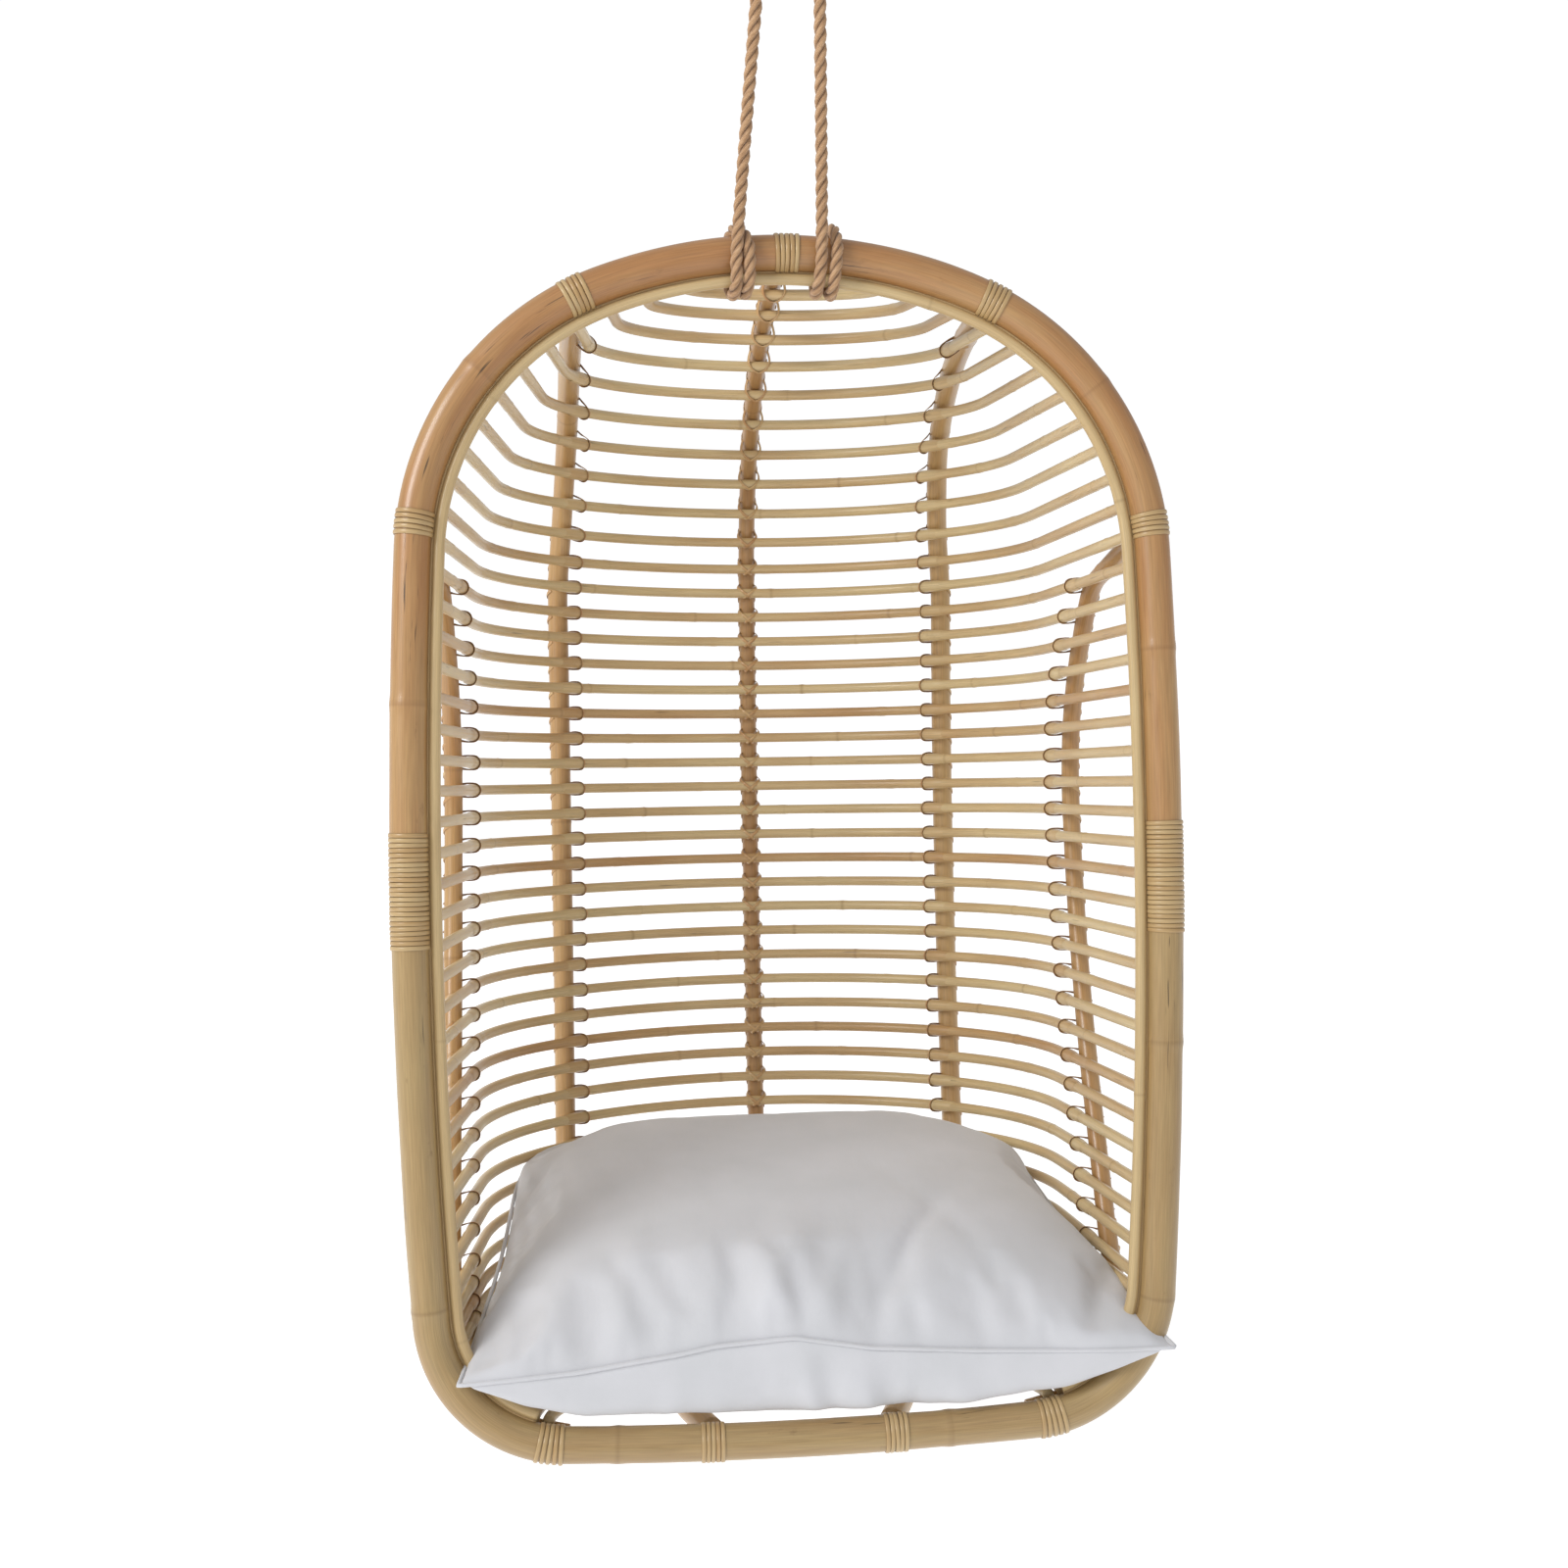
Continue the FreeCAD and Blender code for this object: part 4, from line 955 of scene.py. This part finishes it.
class Crossing:
    """Where a rung crosses a rib: axes along the rung, down the rib and towards the seat."""

    def __init__(self, here, along, outward, down, rib_radius):
        self.here = here
        self.along = along
        self.front = -(outward - along * outward.dot(along)).normalized()
        self.down = (down - along * down.dot(along)).normalized()
        self.rib = rib_radius
        self.rib_middle = RUNG + rib_radius + RIB_ROOM

    def at(self, a, b, c):
        return self.here + self.along * a + self.down * b + self.front * c

    def tie(self, bundle, corners, closed, width, tone, seed):
        """A strip of peel through corners given along, down and forwards."""
        middles = smooth_through([self.at(*corner) for corner in corners], closed)
        inside = self.at(0, 0, -0.55 * self.rib_middle)
        outs = [(m - inside).normalized() for m in middles]
        bundle.strap(middles, outs, width, 1.0, tone, closed, seed)


def cross_tie(bundle, crossing, seed):
    """Two strips that cross over the rung and pass behind the rib."""
    rng = Random(seed)
    beside, behind = crossing.rib + 1.3, -(crossing.rib_middle + crossing.rib + 0.7)
    for lean in (-1, 1):
        shift = rng.uniform(-0.7, 0.7)
        low = rng.uniform(0.85, 1.15)
        corners = [
            (-lean * 0.75 * beside + shift, -2.1 * RUNG, 0.55 * behind),
            (-lean * beside + shift, -1.45 * RUNG, -0.8 * RUNG),
            (-lean * 0.9 * beside + shift, -0.95 * RUNG, 0.35 * RUNG),
            (-lean * 0.42 * beside + shift, -0.2 * RUNG, RUNG + 0.55 - 0.2 * lean),
            (lean * 0.06 * beside + shift, 0.55 * RUNG * low, 0.86 * RUNG + 0.5),
            (lean * 0.32 * beside + shift, 1.0 * RUNG * low, 0.2 * RUNG),
            (lean * 0.4 * beside + shift, 0.9 * RUNG, -0.85 * RUNG),
        ]
        crossing.tie(bundle, corners, False, 3.9, rng.uniform(0.2, 0.8), seed)


def ring_tie(bundle, crossing, end, seed):
    """A narrow ring of peel round the rung beside the rib, and round behind the rib."""
    rng = Random(seed)
    tall, front = RUNG + 1.5, RUNG + 1.4
    end = end + rng.uniform(-0.8, 0.8)
    slant = rng.uniform(0.6, 1.6)
    behind = -(crossing.rib_middle + crossing.rib + 0.9)
    corners = [
        (end, 0.0, front),
        (end - 0.4 * slant, 0.72 * tall, 0.72 * front),
        (end - 1.6 * slant, tall, 0.0),
        (0.55 * crossing.rib + 1.0, 0.95 * tall, -1.5 * RUNG),
        (0.75 * crossing.rib, 0.5 * tall, 0.72 * behind),
        (0.0, 0.25 * tall, behind),
        (0.75 * crossing.rib, -0.5 * tall, 0.72 * behind),
        (0.55 * crossing.rib + 1.0, -0.95 * tall, -1.5 * RUNG),
        (end - 2.6 * slant, -tall, 0.0),
        (end - 0.9 * slant, -0.72 * tall, 0.72 * front),
    ]
    crossing.tie(bundle, corners, True, 3.2, rng.uniform(0.5, 1.0), seed)


def sleeve(bundle, crossing, end, tone, seed):
    """Peel laid along the rung's front over a side rib, with a rounded end under the ring."""
    rng = Random(seed)
    steps, sides = 9, 12
    base = len(bundle.verts)
    start = -crossing.rib - rng.uniform(4.0, 8.0)
    for step in range(steps):
        share = step / (steps - 1)
        swell = RUNG + 0.15 + 0.95 * min(1.0, 2.2 * share)
        for j in range(sides):
            angle = pi * (-0.13 + 1.26 * j / (sides - 1))
            rounding = 2.4 * sin(angle) - 1.2 + 0.9 * cos(angle)
            reach = start + (end - 0.4 - start + rounding) * share
            radial = crossing.down * cos(angle) + crossing.front * sin(angle)
            grain = (reach + seed * 37.0 % 900, cos(angle) * RUNG, sin(angle) * RUNG)
            bundle.point(crossing.at(reach, 0, 0) + radial * swell, grain, tone, 0.0)
    for step in range(steps - 1):
        for j in range(sides - 1):
            a = base + step * sides + j
            bundle.faces.append((a, a + 1, a + 1 + sides, a + sides))


def behind_tie(bundle, upper, lower, hand, seed):
    """Peel that winds half round behind the rib from one rung's tie to the next."""
    rng = Random(seed)
    middles, outs = [], []
    steps = 12
    for step in range(steps + 1):
        share = step / steps
        centre_a = upper.at(0, 0, -upper.rib_middle)
        centre_b = lower.at(0, 0, -lower.rib_middle)
        centre = centre_a.lerp(centre_b, 0.16 + 0.68 * share)
        angle = pi * (-0.08 + 1.16 * share)
        along = upper.along.lerp(lower.along, share)
        front = upper.front.lerp(lower.front, share)
        radial = (along * (-hand * cos(angle)) - front * sin(angle)).normalized()
        middles.append(centre + radial * (upper.rib + 0.25 + 0.5 * sin(angle)))
        outs.append(radial)
    bundle.strap(middles, outs, 4.2, 1.0, rng.uniform(0.2, 0.8), False, seed)


def tied_rib(name, crossings, kind):
    """All the peel that holds one rib to its rungs."""
    ties, covers = Bundle(), Bundle()
    last = None
    for number, crossing in crossings:
        seed = 2000 + 60 * len(name) + number
        if kind == "centre":
            cross_tie(ties, crossing, seed)
        else:
            end = crossing.rib + (4.6 if kind == "outer" else 1.8)
            sleeve(covers, crossing, end, RUNG_TONES[number], seed + 3)
            ring_tie(ties, crossing, end, seed)
        if last:
            for hand in (1, -1) if kind == "centre" else (1,):
                behind_tie(ties, last, crossing, hand, seed + 7)
        last = crossing
    ties.build(f"lashings_{name}", LASHING, "cane_peel")
    if covers.verts:
        covers.build(f"sleeves_{name}", THIN, "cane_peel")


LAST_CENTRE_TIE = 39
centre_crossings = []
for number in range(FIRST_RUNG, LAST_CENTRE_TIE + 1):
    turned = radians(RUNGS[number].rib_heading)
    down_rib = Vector((0, cos(turned), sin(turned)))
    outward = Vector((0, -sin(turned), cos(turned)))
    crossing = Crossing(RUNGS[number].centre, RIGHT, outward, down_rib, CENTRE_RIB_RADIUS)
    crossing.rib_middle = RUNG + GAP + CENTRE_RIB_RADIUS
    centre_crossings.append((number, crossing))
tied_rib("centre", centre_crossings, "centre")

for side, word in ((-1, "left"), (1, "right")):
    for kind, place_of, (first, last), radius in (
        ("inner", inner_crossing, INNER_TIED, INNER_RIB_RADIUS),
        ("outer", outer_crossing, OUTER_TIED, OUTER_RIB_RADIUS),
    ):
        crossings = []
        for number in range(first, last + 1):
            vectors = outward_at(place_of, number, first, last)
            if side < 0:
                vectors = mirrored(vectors)
            here, along_rung, outward, down_rib = vectors
            inwards = along_rung if along_rung.x * side < 0 else -along_rung
            crossings.append((number, Crossing(here, inwards, outward, down_rib, radius)))
        tied_rib(f"{kind}_{word}", crossings, kind)

# ---------------------------------------------------------------- cushion
SEAT_SLOPE, CUSHION_FRONT, CUSHION_BASE = 12.0, 4.0, -560.3
SEAT_PLACE = (PLACE @ Matrix.Translation((0, CUSHION_FRONT, CUSHION_BASE))
              @ Matrix.Rotation(radians(SEAT_SLOPE), 4, "X"))
COLUMNS, ROWS = 92, 74
UPPER, SEAM, LOWER = 1, 0, -1
PILLOW_BACK = 466.0
LEFT_EAR, RIGHT_EAR, BACK_HALF = -320.0, 354.0, 288.0
PUFF = 88.0
# the share of the lower cloth that hangs down in front, and how far back its lower edge tucks
FRONT_FACE, TUCK = 0.16, 20.0
# the front seam's line: its ears, and how far back it lies between them
FRONT_AT, FRONT_HOLLOW = -26.0, 17.0
# the share of the depth over which the front seam eases into the seam behind, and its height there
EASED, SEAM_BEHIND, SEAM_RISE = 0.30, 50.0, 20.0
# across the front from ear to ear: height of the seam, then of the pillow's lowest edge
FRONT_STATIONS = (-1.0, -0.83, -0.66, -0.37, -0.26, -0.03, 0.18, 0.46, 0.73, 0.87, 1.0)
SEAM_HEIGHTS = (43.0, 43.5, 45.0, 55.0, 61.0, 65.0, 51.0, 45.0, 43.0, 43.0, 45.0)
LOW_EDGE = (40.0, 12.0, -4.0, -9.0, -12.0, -15.0, -15.0, -12.0, 1.0, 20.0, 42.0)


def pillow_mesh():
    """Parameters across and along the pillow, its faces and the points of its seam in order."""
    number, places, faces = {}, [], []

    def key_of(i, j, layer):
        return (i, j, SEAM if i in (0, COLUMNS) or j in (0, ROWS) else layer)

    for layer in (UPPER, LOWER):
        for j in range(ROWS + 1):
            for i in range(COLUMNS + 1):
                key = key_of(i, j, layer)
                if key not in number:
                    number[key] = len(places)
                    places.append((2 * i / COLUMNS - 1, 2 * j / ROWS - 1, key[2]))
        for j in range(ROWS):
            for i in range(COLUMNS):
                corners = ((i, j), (i + 1, j), (i + 1, j + 1), (i, j + 1))
                face = tuple(number[key_of(*corner, layer)] for corner in corners)
                faces.append(face if layer == UPPER else face[::-1])
    ring = [(i, 0) for i in range(COLUMNS)] + [(COLUMNS, j) for j in range(ROWS)]
    ring += [(i, ROWS) for i in range(COLUMNS, 0, -1)] + [(0, j) for j in range(ROWS, 0, -1)]
    return np.array(places), faces, [number[(i, j, SEAM)] for i, j in ring]


def folds(x, from_front, seed, count, reach, height):
    """Soft creases that rise from the seam at the front and fade away behind it."""
    rng = Random(seed)
    total = np.zeros_like(x)
    for _ in range(count):
        middle = rng.gauss(0.0, 0.42) * 300 + 10
        lean, width = rng.uniform(-0.45, 0.45), rng.uniform(8, 17)
        length = reach * rng.uniform(0.45, 1.25)
        start = from_front / (0.22 * length)
        fade = np.clip(start, 0, 1) * np.exp(-np.clip(from_front / length, 0, 9) ** 2.2)
        off = (x - middle - lean * from_front) / width
        total += height * rng.uniform(-1.0, 0.75) * fade * np.exp(-off**2)
    return total


def pillow_points(places):
    """The stuffed pillow settled on the seat: pointed ears in front, taut and rounded behind."""
    s, t, layer = places.T
    behind = np.clip(t, 0, 1)
    corner = 1 - 0.115 * np.abs(s) ** 5 * behind**5
    s_in, t_in = s * corner, t * (1 - 0.07 * np.abs(s) ** 5 * behind**5)
    back = (t_in + 1) / 2
    left = LEFT_EAR + (-BACK_HALF - LEFT_EAR) * back
    right = RIGHT_EAR + (BACK_HALF - RIGHT_EAR) * back
    waist = 1 - 0.035 * np.sin(pi * np.clip(back, 0, 1)) * s**2
    x = np.where(s < 0, -left * s_in, right * s_in) * waist
    front_line = FRONT_AT + FRONT_HOLLOW * np.clip(1 - s**2, 0, 1) ** 1.2
    y = front_line + (PILLOW_BACK - front_line) * back
    seam_front = np.interp(s, FRONT_STATIONS, SEAM_HEIGHTS)
    low_front = np.interp(s, FRONT_STATIONS, LOW_EDGE)
    ease = 1 - np.clip(back / EASED, 0, 1)
    ease = ease**2 * (3 - 2 * ease)
    seam = seam_front * ease + (SEAM_BEHIND + SEAM_RISE * back**2) * (1 - ease)
    room = np.clip((1 - np.abs(s) ** 3.2) * (1 - np.abs(t) ** 3.0), 0, 1) ** 0.56
    # the underside follows the seat, which rises at its sides and its back
    over = np.clip(np.abs(x) - 120, 0, 400) / 170
    rear = np.clip(y - 60, 0, 500) / 330
    bed = 1.5 + 27 * over**1.6 * rear**1.3 + 10 * np.clip((y - 400) / 80, 0, 2) ** 2
    # upper cloth
    top = seam + PUFF * room * (1.0 - 0.26 * back)
    away = y - front_line
    top += folds(x, away, 31, 34, 62, 6.6) + folds(x * 0.8, away, 57, 10, 150, 6.0)
    pucker = noise_line(x, 0.10, 3.0) * np.exp(-np.clip(away, 0, 999) / 16) * np.clip(away / 6, 0, 1)
    top += 1.8 * pucker
    # lower cloth: first down the front face, then back along the seat
    down = np.clip(back / FRONT_FACE, 0, 1)
    fall = np.sin(0.5 * pi * down) ** 0.85
    low = seam_front + (low_front - seam_front) * fall
    along_bed = np.clip((back - FRONT_FACE) / 0.08, 0, 1)
    bottom_room = np.clip((1 - np.abs(s) ** 6) * (1 - np.clip(t, 0, 1) ** 6), 0, 1) ** 0.5
    rest_height = seam + (bed - seam) * bottom_room
    low = np.where(back < FRONT_FACE, low, low + (rest_height - low) * along_bed**0.8)
    bulge = 9.0 * np.sin(pi * np.clip(down * 0.9, 0, 1)) * np.clip(1 - s**4, 0, 1)
    behind_face = (back - FRONT_FACE) / (1 - FRONT_FACE)
    low_y = np.where(back < FRONT_FACE, front_line - bulge + TUCK * down**3,
                     front_line + TUCK + (PILLOW_BACK - front_line - TUCK) * behind_face)
    crease = folds(x, 62 * (1 - down), 83, 18, 60, 6.0) * np.sin(pi * down) ** 0.6
    low_y = low_y + np.where(back < FRONT_FACE, crease, 0)
    lower = layer == LOWER
    height = np.where(layer == UPPER, top, np.where(lower, low, seam))
    return np.stack([x, np.where(lower, low_y, y), height], 1)


def noise_line(x, scale, seed):
    """Smooth noise along one direction."""
    return np.array([noise.noise(Vector((value * scale, seed, 0.0))) for value in x])


SETTLING_FRAMES = 16
MOST_MOVED = 9.0
# thin soft cotton, 2.2 % larger than the shape, with light pressure from the filling
CLOTH = {
    "quality": 6, "mass": 0.3, "tension_stiffness": 18, "compression_stiffness": 10,
    "shear_stiffness": 6, "bending_stiffness": 0.35, "air_damping": 4, "vertex_group_mass": "held",
    "shrink_min": -0.022, "use_pressure": True, "uniform_pressure_force": 0.7,
}


def settled(points, faces, places):
    """The points after cloth simulation: a little spare cloth over soft filling."""
    mesh = bpy.data.meshes.new("pillow_sim")
    mesh.from_pydata((points * MM).tolist(), [], faces)
    item = in_scene("pillow_sim", mesh)
    held = item.vertex_groups.new(name="held")
    for k, place in enumerate(places):
        held.add([k], 0.0 if place[2] == UPPER else 1.0, "REPLACE")
    cloth = item.modifiers.new("cloth", "CLOTH")
    for key, value in CLOTH.items():
        setattr(cloth.settings, key, value)
    cloth.settings.effector_weights.gravity = 0
    scene = bpy.context.scene
    cloth.point_cache.frame_start, cloth.point_cache.frame_end = 1, SETTLING_FRAMES
    for frame_number in range(1, SETTLING_FRAMES + 1):
        scene.frame_set(frame_number)
    result = item.evaluated_get(bpy.context.evaluated_depsgraph_get())
    found = np.array([v.co for v in result.data.vertices]) / MM
    scene.frame_set(1)
    bpy.data.objects.remove(item)
    return found


pillow_places, pillow_faces, pillow_rim = pillow_mesh()
pillow_co = pillow_points(pillow_places)
moved = settled(pillow_co, pillow_faces, pillow_places) - pillow_co
pillow_co = pillow_co + np.clip(moved, -MOST_MOVED, MOST_MOVED)
cushion = piece("pillow", pillow_co, pillow_faces, SEAT_PLACE)
cushion.data.materials.append(COTTON)
subdivision = cushion.modifiers.new("smooth", "SUBSURF")
subdivision.levels = subdivision.render_levels = 1
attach(cushion, "seat_cushion")
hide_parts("cushion")

PIPING = 2.1
piping = Bundle()
rim_points = [Vector(pillow_co[k]) for k in pillow_rim]
piping_start = len(rim_points) // 3
rim_points = rim_points[piping_start:] + rim_points[: piping_start + 1]
piping.bar(rim_points, PIPING, 8, 4.0, 0.5, 77)
piping.build("pillow_piping", COTTON, "cushion_cotton", "seat_cushion", place=SEAT_PLACE)

# ---------------------------------------------------------------- fittings that stay as in the CAD
for finish, names in (
    (BLACK, "ceiling_plate swivel_housing"),
    (ZINC, "ceiling_screws thrust_washer swivel_eye shackle_bow shackle_pin shackle_nut thimble"),
    (NAIL, "rib_nails"),
):
    for name in names.split():
        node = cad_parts[name]
        node.data.materials.clear()
        node.data.materials.append(finish)

# ---------------------------------------------------------------- stage and lights
FLOOR_HEIGHT, FLOOR_HALF = -2.05, 60.0
WHITE = (1.0, 1.0, 1.0, 1.0)

floor_corners = [(x * FLOOR_HALF, y * FLOOR_HALF, FLOOR_HEIGHT)
                 for x, y in ((-1, -1), (1, -1), (1, 1), (-1, 1))]
floor_mesh = bpy.data.meshes.new("floor")
floor_mesh.from_pydata(floor_corners, [], [(0, 1, 2, 3)])
floor = in_scene("floor", floor_mesh)
floor.data.materials.append(Nodes("floor_paint").finish(
    Base_Color=(0.9, 0.9, 0.9, 1.0), Roughness=0.9, Emission_Color=WHITE, Emission_Strength=0.52))

world = bpy.data.worlds.new("studio")
bpy.context.scene.world = world
world.use_nodes = True
studio = world.node_tree
sky, backdrop = studio.nodes["Background"], studio.nodes.new("ShaderNodeBackground")
for node, colour, strength in ((sky, (0.97, 0.98, 1.0, 1.0), 0.6), (backdrop, WHITE, 1.05)):
    node.inputs["Color"].default_value = colour
    node.inputs["Strength"].default_value = strength
seen = studio.nodes.new("ShaderNodeLightPath")
both = studio.nodes.new("ShaderNodeMixShader")
for output, socket in (
    (seen.outputs["Is Camera Ray"], both.inputs["Fac"]),
    (sky.outputs[0], both.inputs[1]),
    (backdrop.outputs[0], both.inputs[2]),
    (both.outputs[0], studio.nodes["World Output"].inputs["Surface"]),
):
    studio.links.new(output, socket)


def soft_light(name, at, aim, wide, power):
    """A square area light at a place, aimed at another."""
    data = bpy.data.lights.new(name, "AREA")
    data.shape = "SQUARE"
    data.size = wide
    data.energy = power
    item = in_scene(name, data)
    item.location = at
    item.rotation_euler = (Vector(aim) - Vector(at)).to_track_quat("-Z", "Y").to_euler()


soft_light("key", (-2.8, -1.6, 1.2), (0, 0.1, -1.1), 1.5, 88)
soft_light("fill", (0.2, -3.2, 1.4), (0, 0, -1.1), 2.2, 4)
bpy.context.scene.view_settings.view_transform = "Standard"
